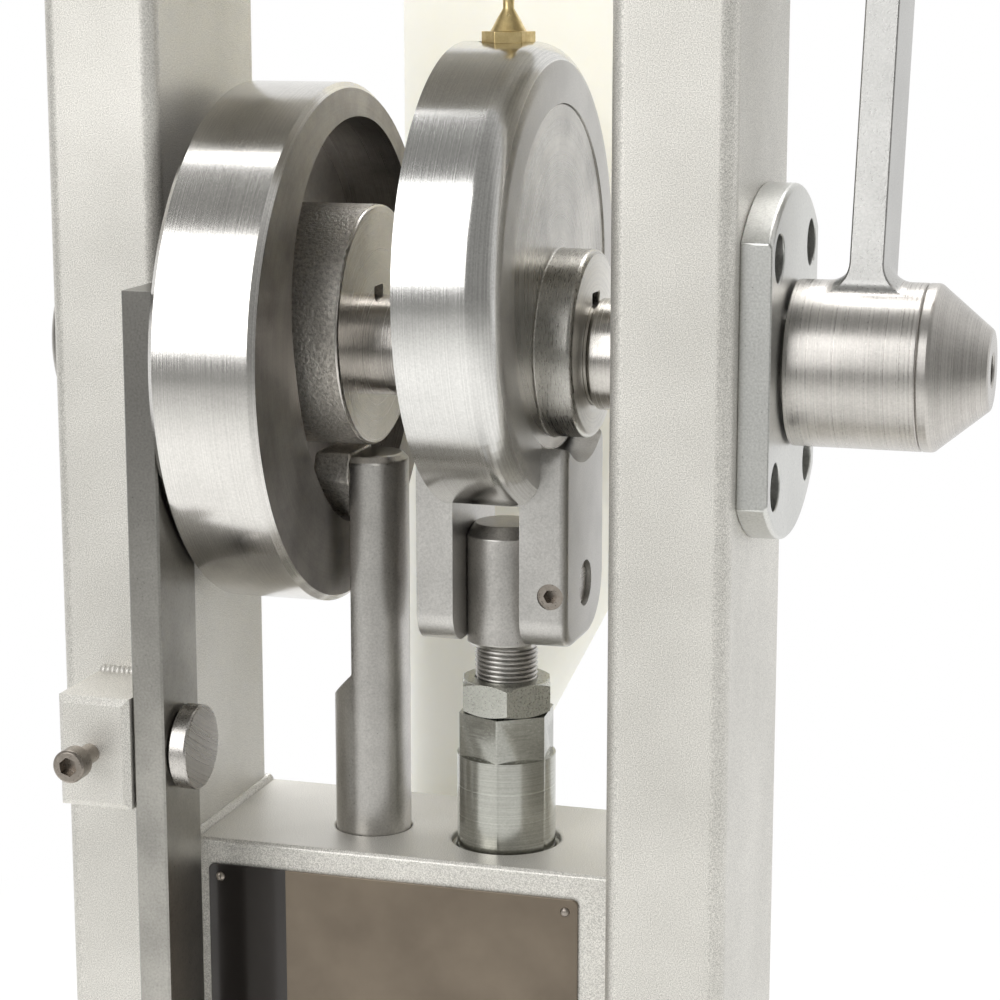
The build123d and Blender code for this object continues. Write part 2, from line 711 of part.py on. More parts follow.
with BuildPart() as oiler:
    with BuildSketch(Plane((oiler_x, 0, oiler_seat_z))):
        RegularPolygon(oiler_hex_width / 2, 6, major_radius=False, rotation=15)
    extrude(amount=3.6)
    with BuildSketch(Plane.XZ):
        with BuildLine():
            base_z = oiler_seat_z + 3.6
            Polyline((oiler_x, base_z - 9), (oiler_x + 3, base_z - 9), (oiler_x + 3, base_z),
                     (oiler_x + 5.4, base_z), (oiler_x + 3.6, base_z + 3.4),
                     (oiler_x + 1.7, base_z + 6.6), (oiler_x + 1.7, base_z + 9),
                     (oiler_x + 3.2, base_z + 11), (oiler_x + 3.2, base_z + 13),
                     (oiler_x + 1.2, base_z + 15), (oiler_x, base_z + 15), close=True)
        make_face()
    revolve(axis=Axis((oiler_x, 0, 0), (0, 0, 1)))
finish(oiler, "oiler")


def hexagon_z(start, height, width, turn, x):
    """A hexagon bar along Z, with one corner at the turn."""
    with BuildSketch(Plane((x, 0, start))) as outline:
        RegularPolygon(width / 2, 6, major_radius=False, rotation=turn)
    extrude(outline.sketch, amount=height)


# Rod end: a round eye piece milled flat to fit the clevis, with a screwed stem
with BuildPart() as rod_end:
    round_z(rod_end_bottom_z, rod_end_top_z, rod_end_radius, ram_x)
    chamfer(rod_end.faces().sort_by(Axis.Z)[-1].edges(), 3.5)
    chamfer(rod_end.faces().sort_by(Axis.Z)[0].edges(), 1.5)
    for side in (-1, 1):
        flat = ram_x + side * rod_end_flats / 2
        far = ram_x + side * (rod_end_radius + 1)
        block_between((min(flat, far), max(flat, far)), (-rod_end_radius, rod_end_radius),
                      (rod_end_bottom_z - 1, rod_end_top_z + 1), mode=Mode.SUBTRACT)
    round_z(nut_bottom_z - stem_depth, rod_end_bottom_z, thread_radius, ram_x)
    round_x(slot_left_x, slot_right_x, clevis_pin_radius + 0.4, 0, shaft_z - clevis_pin_drop,
            mode=Mode.SUBTRACT)
finish(rod_end, "rod_end")

with BuildPart() as lock_nut:
    hexagon_z(nut_bottom_z, nut_height, ram_hex_width, nut_hex_turn, ram_x)
    with BuildSketch(Plane.XZ) as cone_outline:
        with BuildLine():
            corner = ram_hex_width / 2 / cos(radians(30)) + 0.5
            nut_top_z = nut_bottom_z + nut_height
            lead = (corner - nut_chamfer_radius) * sin(radians(30)) / cos(radians(30))
            Polyline((ram_x, nut_bottom_z), (ram_x + nut_chamfer_radius, nut_bottom_z),
                     (ram_x + corner, nut_bottom_z + lead), (ram_x + corner, nut_top_z - lead),
                     (ram_x + nut_chamfer_radius, nut_top_z), (ram_x, nut_top_z), close=True)
        make_face()
    revolve(cone_outline.sketch, axis=Axis((ram_x, 0, 0), (0, 0, 1)), mode=Mode.INTERSECT)
    round_z(nut_bottom_z, nut_top_z, thread_radius + seat_gap, ram_x, mode=Mode.SUBTRACT)
finish(lock_nut, "lock_nut")

with BuildPart() as ram:
    hexagon_z(hex_bottom_z, nut_bottom_z - hex_bottom_z, ram_hex_width, ram_hex_turn, ram_x)
    round_z(hex_bottom_z, nut_bottom_z, ram_radius, ram_x, mode=Mode.INTERSECT)
    round_z(ram_end_z, hex_bottom_z, ram_radius, ram_x)
    chamfer(ram.faces().sort_by(Axis.Z)[0].edges(), 1.5)
    round_z(nut_bottom_z - stem_depth - 1, nut_bottom_z, thread_radius + seat_gap, ram_x, mode=Mode.SUBTRACT)
    round_z(ram_end_z, ram_end_z + punch_socket_depth, punch_shank_radius + seat_gap, ram_x,
            mode=Mode.SUBTRACT)
    punch_screw_z = ram_end_z + 5
    round_y(-ram_radius, -punch_shank_radius + 1, 2.5, ram_x, punch_screw_z, mode=Mode.SUBTRACT)
finish(ram, "ram")

socket_screw_y(-ram_radius + 0.8, -punch_shank_radius - 0.05, 2.48, ram_x, punch_screw_z,
               "punch_screw")

with BuildPart() as upper_punch:
    shoulder_z = punch_tip_z + punch_tip_length
    round_z(shoulder_z, ram_end_z + punch_socket_depth - 1, punch_shank_radius, ram_x)
    chamfer(upper_punch.faces().sort_by(Axis.Z)[0].edges(), 2)
    round_z(punch_tip_z, shoulder_z, tip_radius, ram_x)
finish(upper_punch, "upper_punch")

# Lift rod: its flat clears the rim of the drum, and its follower runs in the cam track
with BuildPart() as lift_rod:
    round_z(rod_bottom_z, rod_top_z, rod_radius, rod_x)
    chamfer(lift_rod.faces().sort_by(Axis.Z)[-1].edges(), 2)
    chamfer(lift_rod.faces().sort_by(Axis.Z)[0].edges(), 1.5)
    flat_end_z = shaft_z - rod_flat_drop
    run_out = rod_radius + rod_flat_x - rod_x
    with BuildSketch(Plane.XZ.offset(-rod_radius)):
        with BuildLine():
            Polyline((rod_flat_x, rod_top_z + 1), (rod_flat_x, flat_end_z + run_out),
                     (rod_x - rod_radius, flat_end_z), (rod_x - rod_radius - 1, flat_end_z),
                     (rod_x - rod_radius - 1, rod_top_z + 1), close=True)
        make_face()
    extrude(amount=2 * rod_radius, mode=Mode.SUBTRACT)
finish(lift_rod, "lift_rod")

with BuildPart() as cam_follower:
    with BuildSketch(Plane.YZ.offset(follower_left_x)):
        with BuildLine():
            half = follower_half_depth
            top, upper, shoulder, tip = [shaft_z - drop for drop in follower_drops]
            Polyline((-half, upper), (-half, shoulder), (-half / 8, tip), (half / 8, tip), (half, shoulder),
                     (half, upper), (0.8 * half, top), (-0.8 * half, top), close=True)
        make_face()
    extrude(amount=rod_flat_x - follower_left_x)
    chamfer(cam_follower.faces().sort_by(Axis.X)[0].edges(), 0.8)
finish(cam_follower, "cam_follower")

# Yoke that carries the lower punch, held on the rod by two slotted round nuts
with BuildPart() as lift_yoke:
    with BuildSketch(Plane.XY.offset(yoke_top_z - yoke_height)):
        with Locations((rod_x, 0)):
            Circle(yoke_rod_radius)
        with Locations((ram_x, 0)):
            Circle(yoke_punch_radius)
        make_hull()
    extrude(amount=yoke_height)
    chamfer(lift_yoke.faces().sort_by(Axis.Z)[-1].edges(), 1.5)
    round_z(yoke_top_z - yoke_height, yoke_top_z, rod_radius + seat_gap, rod_x, mode=Mode.SUBTRACT)
    round_z(yoke_top_z - yoke_height, yoke_top_z, punch_shank_radius + seat_gap, ram_x,
            mode=Mode.SUBTRACT)
    yoke_screw_z = yoke_top_z - yoke_height / 2
    round_y(-yoke_punch_radius, -punch_shank_radius + 1, 3, ram_x, yoke_screw_z, mode=Mode.SUBTRACT)
finish(lift_yoke, "lift_yoke")

socket_screw_y(-yoke_punch_radius + 0.8, -punch_shank_radius - 0.05, 2.98, ram_x, yoke_screw_z,
               "yoke_screw")

for name, start in (("fill_adjuster", yoke_top_z), ("eject_adjuster", yoke_top_z - yoke_height - adjuster_height)):
    with BuildPart() as adjuster:
        round_z(start, start + adjuster_height, adjuster_radius, rod_x)
        chamfer(adjuster.edges().filter_by(GeomType.CIRCLE), 0.8)
        round_z(start, start + adjuster_height, rod_radius + running_gap, rod_x, mode=Mode.SUBTRACT)
        with BuildSketch(Plane((rod_x, 0, start))):
            with PolarLocations(adjuster_radius, 8, start_angle=22.5):
                Rectangle(5, 4)
        extrude(amount=adjuster_height, mode=Mode.SUBTRACT)
    finish(adjuster, name)

with BuildPart() as lower_punch:
    lower_shoulder_z = table_top_z - die_height - 4
    round_z(yoke_top_z - yoke_height + 4, lower_shoulder_z, punch_shank_radius, ram_x)
    chamfer(lower_punch.faces().sort_by(Axis.Z)[-1].edges(), 2)
    round_z(lower_shoulder_z, table_top_z, tip_radius, ram_x)
finish(lower_punch, "lower_punch")

# Feed lever, with its roller at the top and its foot pin at the bottom
with BuildPart() as feed_lever:
    block_between((lever_left_x, lever_right_x), (lever_y - lever_width / 2, lever_y + lever_width / 2),
                  (lever_foot_z, lever_top_z))
    chamfer(feed_lever.edges().filter_by(Axis.Z), 0.6)
    round_x(lever_left_x, lever_right_x, pivot_radius + running_gap, lever_y, pivot_z, mode=Mode.SUBTRACT)
    for z in (roller_z, foot_pin_z):
        round_x(lever_left_x, lever_right_x, foot_pin_radius + seat_gap, lever_y, z, mode=Mode.SUBTRACT)
finish(feed_lever, "feed_lever")

groove_floor_x = drum_left_x + lever_groove_depth
with BuildPart() as roller_pin:
    round_x(lever_left_x, groove_floor_x - 0.5, foot_pin_radius, lever_y, roller_z)
finish(roller_pin, "roller_pin")

with BuildPart() as lever_roller:
    round_x(lever_right_x + 0.3, groove_floor_x - 0.7, roller_radius, lever_y, roller_z)
    chamfer(lever_roller.edges().filter_by(GeomType.CIRCLE), 0.4)
    round_x(lever_right_x + 0.3, groove_floor_x - 0.7, foot_pin_radius + running_gap, lever_y, roller_z,
            mode=Mode.SUBTRACT)
finish(lever_roller, "lever_roller")

link_left_x = lever_right_x + side_gap
link_plate = 6
with BuildPart() as foot_pin:
    round_x(lever_left_x, link_left_x + link_plate, foot_pin_radius, lever_y, foot_pin_z)
    chamfer(foot_pin.faces().sort_by(Axis.X)[-1].edges(), 0.4)
finish(foot_pin, "foot_pin")

# Feed shoe: an open boat over the die, with a low lip in front
shoe_left_x = ram_x - shoe_half
shoe_right_x = ram_x + shoe_half
with BuildPart() as feed_shoe:
    with BuildSketch(Plane.XY.offset(table_top_z)):
        with Locations((ram_x, (shoe_front_y + shoe_back_y) / 2)):
            RectangleRounded(2 * shoe_half, shoe_back_y - shoe_front_y, 4)
        with Locations((ram_x, (shoe_front_y + shoe_lip + shoe_back_y - shoe_wall) / 2)):
            RectangleRounded(shoe_inner_width, shoe_back_y - shoe_wall - shoe_front_y - shoe_lip, 3,
                             mode=Mode.SUBTRACT)
    extrude(amount=shoe_height)
    block_between((ram_x - shoe_notch_width / 2, ram_x + shoe_notch_width / 2),
                  (shoe_front_y - 1, shoe_front_y + shoe_lip + 1),
                  (table_top_z + shoe_lip_height, table_top_z + shoe_height + 1), mode=Mode.SUBTRACT)
finish(feed_shoe, "feed_shoe")

# Link from the lever's foot, in front of the lift rod, to the side of the shoe
with BuildPart() as shoe_link:
    link_low_z = foot_pin_z - link_height / 2
    link_high_z = foot_pin_z + link_height / 2
    link_y = (lever_y - link_depth / 2, lever_y + link_depth / 2)
    block_between((link_left_x, link_left_x + link_plate), (lever_y - 8, lever_y + 8),
                  (link_low_z - 3, link_high_z + 4))
    fillet(shoe_link.edges().filter_by(Axis.X), 3)
    block_between((link_left_x + link_plate, shoe_left_x), link_y, (link_low_z, link_high_z))
    block_between((shoe_left_x - link_depth, shoe_left_x), (lever_y - link_depth / 2, shoe_front_y + link_reach),
                  (link_low_z + 0.3 + rail_height - link_height / 2, link_high_z + 4))
    with BuildSketch(Plane.YZ.offset(link_left_x)):
        with Locations((lever_y, foot_pin_z)):
            SlotCenterToCenter(3, 2 * (foot_pin_radius + 0.3), rotation=90)
    extrude(amount=link_plate, mode=Mode.SUBTRACT)
finish(shoe_link, "shoe_link")

# Crank: hub and arm are welded and dressed smooth, the arm leans to the back
arm_plane = Plane((arm_left_x, 0, shaft_z), x_dir=(0, cos(radians(arm_lean)), -sin(radians(arm_lean))),
                  z_dir=(1, 0, 0))
spindle_y = arm_length * sin(radians(arm_lean))
spindle_z = shaft_z + arm_length * cos(radians(arm_lean))
with BuildPart() as crank_arm:
    with BuildSketch(arm_plane):
        with BuildLine():
            Polyline((-arm_root_width / 2, 0), (-arm_tip_width / 2, arm_length),
                     (arm_tip_width / 2, arm_length), (arm_root_width / 2, 0), close=True)
        make_face()
        with Locations((0, arm_length)):
            Circle(arm_tip_width / 2)
    extrude(amount=arm_right_x - arm_left_x)
    round_x(hub_left_x, hub_right_x, hub_radius)
    root = crank_arm.edges().filter_by(lambda edge: abs(
        hypot(edge.center().Y, edge.center().Z - shaft_z) - hub_radius) < 4
        and arm_left_x - 0.1 < edge.center().X < arm_right_x + 0.1 and edge.center().Z > shaft_z)
    print("arm root edges", len(root))
    fillet(root, arm_root_fillet)
    round_x(hub_left_x, hub_right_x, crank_seat_radius + seat_gap, mode=Mode.SUBTRACT)
    block_between((hub_left_x + 4, hub_right_x), (-3, 3),
                  (shaft_z - crank_seat_radius - 2.5, shaft_z - crank_seat_radius + 1),
                  mode=Mode.SUBTRACT)
    round_x(arm_left_x, arm_right_x, spindle_radius + seat_gap, spindle_y, spindle_z, mode=Mode.SUBTRACT)
finish(crank_arm, "crank_arm")

with BuildPart() as hub_cap:
    with BuildSketch(Plane.XZ):
        with BuildLine():
            Polyline((hub_right_x, shaft_z), (hub_right_x, shaft_z + hub_radius),
                     (hub_right_x + cap_band, shaft_z + hub_radius),
                     (cap_right_x - 0.8, shaft_z + cap_end_radius + 0.6),
                     (cap_right_x, shaft_z + cap_end_radius), (cap_right_x, shaft_z), close=True)
        make_face()
    revolve(axis=Axis((0, 0, shaft_z), (1, 0, 0)))
    round_x(hub_right_x - 5, hub_right_x, crank_seat_radius)
    round_x(cap_right_x - 12, cap_right_x, cap_hole_radius, mode=Mode.SUBTRACT)
finish(hub_cap, "hub_cap")

grip_left_x = arm_right_x + 4
grip_right_x = grip_left_x + grip_length
with BuildPart() as grip_spindle:
    round_x(arm_left_x, grip_right_x + 0.6, spindle_radius, spindle_y, spindle_z)
    round_x(arm_right_x, grip_left_x - side_gap, spindle_radius + 4, spindle_y, spindle_z)
    round_x(grip_right_x + 0.6, grip_right_x + 5, spindle_radius + 3.5, spindle_y, spindle_z)
    chamfer(grip_spindle.faces().sort_by(Axis.X)[-1].edges(), 1.2)
finish(grip_spindle, "grip_spindle")

with BuildPart() as handle_grip:
    with BuildSketch(Plane.XY.offset(spindle_z)):
        with BuildLine():
            start_y = spindle_y + grip_radius - 5
            Spline([(grip_left_x, start_y), (grip_left_x + grip_length * 0.3, spindle_y + grip_radius - 1),
                    (grip_left_x + grip_length * 0.75, spindle_y + grip_radius),
                    (grip_right_x, spindle_y + grip_radius - 6)])
            Polyline((grip_right_x, spindle_y + grip_radius - 6),
                     (grip_right_x, spindle_y + spindle_radius + running_gap),
                     (grip_left_x, spindle_y + spindle_radius + running_gap), (grip_left_x, start_y))
        make_face()
    revolve(axis=Axis((0, spindle_y, spindle_z), (1, 0, 0)))
finish(handle_grip, "handle_grip")

print("lever swing", round(degrees(lever_swing), 3), "shoe stroke", round(shoe_stroke, 3))
print("punch tip", punch_tip_z, "ram stroke", ram_stroke)
print("spindle", round(spindle_y, 3), round(spindle_z, 3))
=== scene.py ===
# %% [markdown]
# # A hand-cranked tablet press
#
# The press turns one crank into three motions: an eccentric drives the ram, a track inside the cam
# drum lifts the lower punch, and a groove on the drum's other side swings the feed lever. The CAD
# model already holds every piece in its place, so this file only gives the pieces their looks:
# rounded edges that catch the light, metals that differ as they do on the real press, the screw
# thread, the rivets, and a plain studio. Lengths in this file are metres unless a name ends in _mm.

# %% Load the model
import bpy
import bmesh
import json
from math import cos, radians, sin
from mathutils import Matrix, Vector


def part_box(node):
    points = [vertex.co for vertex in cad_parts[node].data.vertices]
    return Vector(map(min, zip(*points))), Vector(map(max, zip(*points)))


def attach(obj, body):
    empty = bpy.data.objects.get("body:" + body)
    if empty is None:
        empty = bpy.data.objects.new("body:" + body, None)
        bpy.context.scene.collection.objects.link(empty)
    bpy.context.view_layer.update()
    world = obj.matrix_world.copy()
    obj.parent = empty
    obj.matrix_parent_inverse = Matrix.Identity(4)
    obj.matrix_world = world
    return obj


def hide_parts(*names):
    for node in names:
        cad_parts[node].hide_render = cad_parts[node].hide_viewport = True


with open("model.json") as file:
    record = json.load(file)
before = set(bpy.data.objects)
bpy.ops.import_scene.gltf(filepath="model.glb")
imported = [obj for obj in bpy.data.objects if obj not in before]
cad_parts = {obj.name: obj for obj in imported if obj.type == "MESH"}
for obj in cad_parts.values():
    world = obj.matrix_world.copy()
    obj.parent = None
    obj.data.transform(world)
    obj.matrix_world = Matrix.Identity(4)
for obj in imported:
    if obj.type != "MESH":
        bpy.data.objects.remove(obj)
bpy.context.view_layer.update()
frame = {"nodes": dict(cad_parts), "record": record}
scene = bpy.context.scene
mm = 0.001

# %% [markdown]
# ## Places that several finishes need
#
# Turned metal keeps fine rings around the axis it was turned on. A finish can only draw them if it
# knows that axis, so the main axes are measured here from the CAD pieces themselves.

# %% Measure the main axes
def middle(node):
    """Centre of a node's box."""
    low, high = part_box(node)
    return (low + high) / 2


shaft = middle("camshaft")
shaft_z = shaft.z
strap_radius = 70 * mm
sheave_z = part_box("eccentric_strap")[1].z - strap_radius
ram_x = middle("ram").x
print("shaft", round(shaft_z, 4), "sheave", round(sheave_z, 4), "ram x", round(ram_x, 4))

# %% [markdown]
# ## A small kit for finishes
#
# Every finish is built from nodes. Noise gives grain and stains, a ramp turns noise into colours,
# and a bump turns it into tiny relief. The helpers keep each finish short. All patterns read Object
# coordinates. Every piece sits at the origin with its place in its mesh, so the patterns stay put
# when the press moves.

# %% Helpers that build finishes
class Finish:
    """One material and the few node moves that all finishes here share."""

    def __init__(self, name, metallic=0.0, roughness=0.5):
        self.material = bpy.data.materials.new(name)
        self.material.use_nodes = True
        self.nodes = self.material.node_tree.nodes
        self.links = self.material.node_tree.links
        self.shader = self.nodes["Principled BSDF"]
        self.shader.inputs["Metallic"].default_value = metallic
        self.shader.inputs["Roughness"].default_value = roughness
        self.place = self.nodes.new("ShaderNodeTexCoord").outputs["Object"]

    def add(self, kind, **inputs):
        """A node with its inputs set or linked by name."""
        node = self.nodes.new(kind)
        for name, value in inputs.items():
            self.put(node.inputs[name.replace("_", " ")], value)
        return node

    def put(self, socket, value):
        """Link an output to a socket, or set the socket to a plain value."""
        if isinstance(value, bpy.types.NodeSocket):
            self.links.new(value, socket)
        else:
            socket.default_value = value

    def math(self, operation, first, second=0.0, third=0.0):
        node = self.nodes.new("ShaderNodeMath")
        node.operation = operation
        for socket, value in zip(node.inputs, (first, second, third)):
            self.put(socket, value)
        return node.outputs[0]

    def noise(self, scale, detail=3.0, rough=0.5, vector=None):
        """Noise at a number of features per metre."""
        node = self.add("ShaderNodeTexNoise", Scale=scale, Detail=detail, Roughness=rough)
        self.put(node.inputs["Vector"], vector or self.place)
        return node.outputs["Fac"]

    def ramp(self, value, *stops):
        """Colours, or greys, by value. Each stop is a place and a colour or a grey."""
        node = self.nodes.new("ShaderNodeValToRGB")
        self.put(node.inputs["Fac"], value)
        points = node.color_ramp.elements
        while len(points) < len(stops):
            points.new(0.5)
        for point, (where, colour) in zip(points, stops):
            point.position = where
            if not isinstance(colour, tuple):
                colour = (colour, colour, colour)
            point.color = (*colour, 1.0)
        return node.outputs["Color"]

    def mix(self, factor, first, second):
        """Mix two colours."""
        node = self.nodes.new("ShaderNodeMix")
        node.data_type = "RGBA"
        self.put(node.inputs[0], factor)
        for socket, colour in ((node.inputs[6], first), (node.inputs[7], second)):
            self.put(socket, (*colour, 1.0) if isinstance(colour, tuple) else colour)
        return node.outputs[2]

    def multiply(self, first, second):
        """One colour darkened by another."""
        node = self.nodes.new("ShaderNodeMix")
        node.data_type = "RGBA"
        node.blend_type = "MULTIPLY"
        self.put(node.inputs[0], 1.0)
        self.put(node.inputs[6], first)
        self.put(node.inputs[7], second)
        return node.outputs[2]

    def lathe_place(self, axis, centre, across, along):
        """Coordinates in which marks of a lathe are straight: radius and length from an axis."""
        split = self.add("ShaderNodeSeparateXYZ", Vector=self.place).outputs
        first, second = [split[i] for i in range(3) if i != "XYZ".index(axis)]
        a = self.math("SUBTRACT", first, centre[0])
        b = self.math("SUBTRACT", second, centre[1])
        radius = self.math("SQRT", self.math("MULTIPLY_ADD", a, a, self.math("MULTIPLY", b, b)))
        joined = self.nodes.new("ShaderNodeCombineXYZ")
        self.put(joined.inputs[0], self.math("MULTIPLY", radius, across))
        self.put(joined.inputs[1], self.math("MULTIPLY", split["XYZ".index(axis)], along))
        return joined.outputs[0]

    def relief(self, *layers):
        """Bump from several heights. Each layer is a height, a strength and a depth in millimetres."""
        normal = None
        for height, strength, depth in layers:
            node = self.add("ShaderNodeBump", Height=height, Strength=strength, Distance=depth * mm)
            if normal:
                self.put(node.inputs["Normal"], normal)
            normal = node.outputs["Normal"]
        self.put(self.shader.inputs["Normal"], normal)

    def colour(self, value):
        self.put(self.shader.inputs["Base Color"], value)

    def roughness(self, value):
        self.put(self.shader.inputs["Roughness"], value)


print("finish kit ready")

# %% [markdown]
# ## Silver paint
#
# The columns, the block and the lever's bracket carry a sprayed silver paint. Its flakes give a fine
# grain that is neither matte nor a mirror, with faint clouds where the coat is thinner. Two thirds
# metal and one third dielectric is the simplest mix that behaves like it under soft light.

# %% Silver paint
def silver_paint():
    coat = Finish("silver_paint", metallic=0.68)
    flake = coat.noise(3000, 2.0, 0.7)
    cloud = coat.noise(22, 4.0, 0.55)
    grain = coat.ramp(flake, (0.34, (0.44, 0.425, 0.395)), (0.64, (0.88, 0.86, 0.81)))
    tint = coat.ramp(cloud, (0.3, (0.86, 0.86, 0.855)), (0.7, (1.0, 1.0, 1.0)))
    coat.colour(coat.multiply(grain, tint))
    coat.roughness(coat.ramp(flake, (0.2, 0.36), (0.8, 0.52)))
    coat.relief((cloud, 0.25, 0.5), (flake, 0.55, 0.08))
    return coat.material


paint = silver_paint()
print("made", paint.name)

# %% [markdown]
# ## Turned steel
#
# Streaks run around the turning axis, because the noise is stretched by radius and length instead
# of by X, Y and Z. The streaks also vary the gloss, and a second, larger noise stains the surface.
# Changing the base colour and the roughness gives polished, ground or oily steel.

# %% Steel by its turning axis
def turned_steel(name, axis, centre, base, gloss, marks, stain, across=2600, along=2600):
    """Steel with rings around an axis. Across and along say how fine the rings are, per metre."""
    steel = Finish(name, metallic=1.0)
    place = steel.lathe_place(axis, centre, across, along)
    lines = steel.noise(1.0, 2.0, 0.6, place)
    cloud = steel.noise(45, 5.0, 0.6)
    dark = tuple(c * (1 - stain) for c in base)
    shade = steel.ramp(cloud, (0.30, dark), (0.62, base))
    speck = steel.noise(1500, 3.0, 0.7)
    blend = steel.math("ADD", steel.math("MULTIPLY", lines, 0.6), steel.math("MULTIPLY", speck, 0.4))
    fine = steel.ramp(blend, (0.38, 0.74), (0.62, 1.0))
    steel.colour(steel.multiply(shade, fine))
    steel.roughness(steel.ramp(lines, (0.25, gloss[0]), (0.75, gloss[1])))
    steel.relief((lines, marks, 0.03), (cloud, 0.08, 0.2), (speck, 0.25, 0.02))
    return steel.material


shaft_axis = (0.0, shaft_z)
sheave_axis = (0.0, sheave_z)
ram_axis = (ram_x, 0.0)
print("turning axes:", shaft_axis, sheave_axis, ram_axis)

# %% [markdown]
# ## Plated, blasted and cast steel
#
# Zinc plate and blasted steel have a fine grain with no direction. The lever's upper end darkens
# above a height, partly with oil from the drum's groove and partly with painted shade under the drum.
# The casting's skin is rougher still, with dark pits that only a coarser bump can show.

# %% Steel without a direction
# Oil and painted shade from the drum darken the lever's top: the fade is how far the darkening grows, the
# darkness how dark it gets.
oil_and_shade_fade = 110 * mm
oil_and_shade_darkness = 0.42


def plated_steel(name, base, gloss, grain, depth, stain, oil_and_shade_from=None):
    """Zinc-plated or blasted steel: a fine grain with no direction. Oil and painted shade darken it above
    a height.
    """
    steel = Finish(name, metallic=1.0)
    speck = steel.noise(grain, 4.0, 0.6)
    cloud = steel.noise(38, 5.0, 0.6)
    dark = tuple(c * (1 - stain) for c in base)
    shade = steel.ramp(cloud, (0.32, dark), (0.66, base))
    # Above the line the colour fades to a darker steel: partly oil from the drum's groove, partly painted
    # shade under the drum.
    if oil_and_shade_from:
        height = steel.add("ShaderNodeSeparateXYZ", Vector=steel.place).outputs[2]
        rise = steel.math("DIVIDE", steel.math("SUBTRACT", height, oil_and_shade_from), oil_and_shade_fade)
        oil_and_shade_colour = tuple(c * oil_and_shade_darkness for c in base)
        shade = steel.mix(steel.ramp(rise, (0.0, 0.0), (1.0, 1.0)), shade, oil_and_shade_colour)
    fleck = steel.ramp(speck, (0.34, 0.80), (0.64, 1.0))
    steel.colour(steel.multiply(shade, fleck))
    steel.roughness(steel.ramp(speck, (0.25, gloss[0]), (0.75, gloss[1])))
    steel.relief((cloud, 0.15, 0.3), (speck, depth, 0.08))
    return steel.material


def cast_skin():
    """The rough skin of a casting: dark pits between brighter worn lumps."""
    skin = Finish("cast_boss", metallic=1.0)
    lumps = skin.noise(900, 4.0, 0.65)
    skin.colour(skin.ramp(lumps, (0.36, (0.50, 0.47, 0.43)), (0.62, (0.84, 0.80, 0.74))))
    skin.roughness(skin.ramp(lumps, (0.3, 0.62), (0.7, 0.36)))
    skin.relief((lumps, 1.0, 0.25))
    return skin.material


# The lever's darkening, oil and painted shade from the drum, starts at this height.
oil_and_shade_line = shaft_z - 120 * mm
print("oil starts at", round(oil_and_shade_line, 4))

# %% [markdown]
# ## The steels of this press
#
# Every steel gets a name for the piece that it is made for. The numbers are the base colour, the
# least and the greatest roughness, and then how strong the marks and the stains are.

# %% Name the steels
rim_steel = turned_steel("rim_steel", "X", shaft_axis, (0.76, 0.74, 0.71), (0.13, 0.24), 0.22, 0.12)
drum_face = turned_steel("drum_face_oily", "X", shaft_axis, (0.40, 0.375, 0.35), (0.24, 0.42), 0.7, 0.45,
                         across=900)
strap_steel = turned_steel("strap_steel", "X", sheave_axis, (0.76, 0.75, 0.73), (0.13, 0.24), 0.15, 0.12)
sheave_steel = turned_steel("sheave_face", "X", sheave_axis, (0.62, 0.60, 0.56), (0.22, 0.36), 0.8, 0.35,
                            across=700)
sheave_hub = turned_steel("sheave_hub", "X", shaft_axis, (0.90, 0.88, 0.83), (0.28, 0.42), 0.5, 0.2,
                          across=900)
hub_steel = turned_steel("hub_steel", "X", shaft_axis, (0.60, 0.575, 0.545), (0.22, 0.38), 0.5, 0.18,
                         along=1500)
journal_steel = turned_steel("journal_steel", "X", shaft_axis, (0.68, 0.65, 0.61), (0.16, 0.30), 0.2, 0.25)
ram_steel = turned_steel("ram_steel", "Z", ram_axis, (0.60, 0.60, 0.55), (0.16, 0.28), 0.4, 0.2,
                         along=1600)
rod_steel = plated_steel("rod_steel", (0.66, 0.64, 0.61), (0.26, 0.42), 1500, 0.5, 0.25)
clevis_steel = plated_steel("clevis_steel", (0.62, 0.605, 0.58), (0.30, 0.46), 1700, 0.6, 0.16)
flange_zinc = plated_steel("flange_zinc", (0.70, 0.70, 0.675), (0.26, 0.40), 1500, 0.3, 0.10)
nut_zinc = plated_steel("nut_zinc", (0.70, 0.70, 0.64), (0.22, 0.38), 1500, 0.3, 0.2)
lever_steel = plated_steel("lever_steel", (0.50, 0.485, 0.45), (0.26, 0.40), 1400, 0.3, 0.3)
# The lever's plate darkens towards its top with oil and painted shade from the drum.
lever_plate = plated_steel("lever_plate", (0.50, 0.485, 0.45), (0.26, 0.40), 1400, 0.3, 0.3, oil_and_shade_line)
cast_boss = cast_skin()
arm_steel = plated_steel("arm_steel", (0.53, 0.525, 0.51), (0.24, 0.38), 1300, 0.3, 0.14)
tool_steel = plated_steel("tool_steel", (0.70, 0.70, 0.70), (0.12, 0.22), 900, 0.08, 0.1)
screw_steel = plated_steel("screw_steel", (0.46, 0.41, 0.36), (0.22, 0.42), 900, 0.3, 0.4)
sheet_metal = plated_steel("sheet_metal", (0.70, 0.70, 0.69), (0.24, 0.36), 700, 0.1, 0.08)
print("steels:", len([m for m in bpy.data.materials if "steel" in m.name]))

# %% [markdown]
# ## Brass
#
# The oiler is polished brass, and the shoe and its rails are duller cast brass. Brass darkens in
# clouds that are a little browner, so the dull colour keeps less green and blue than red.

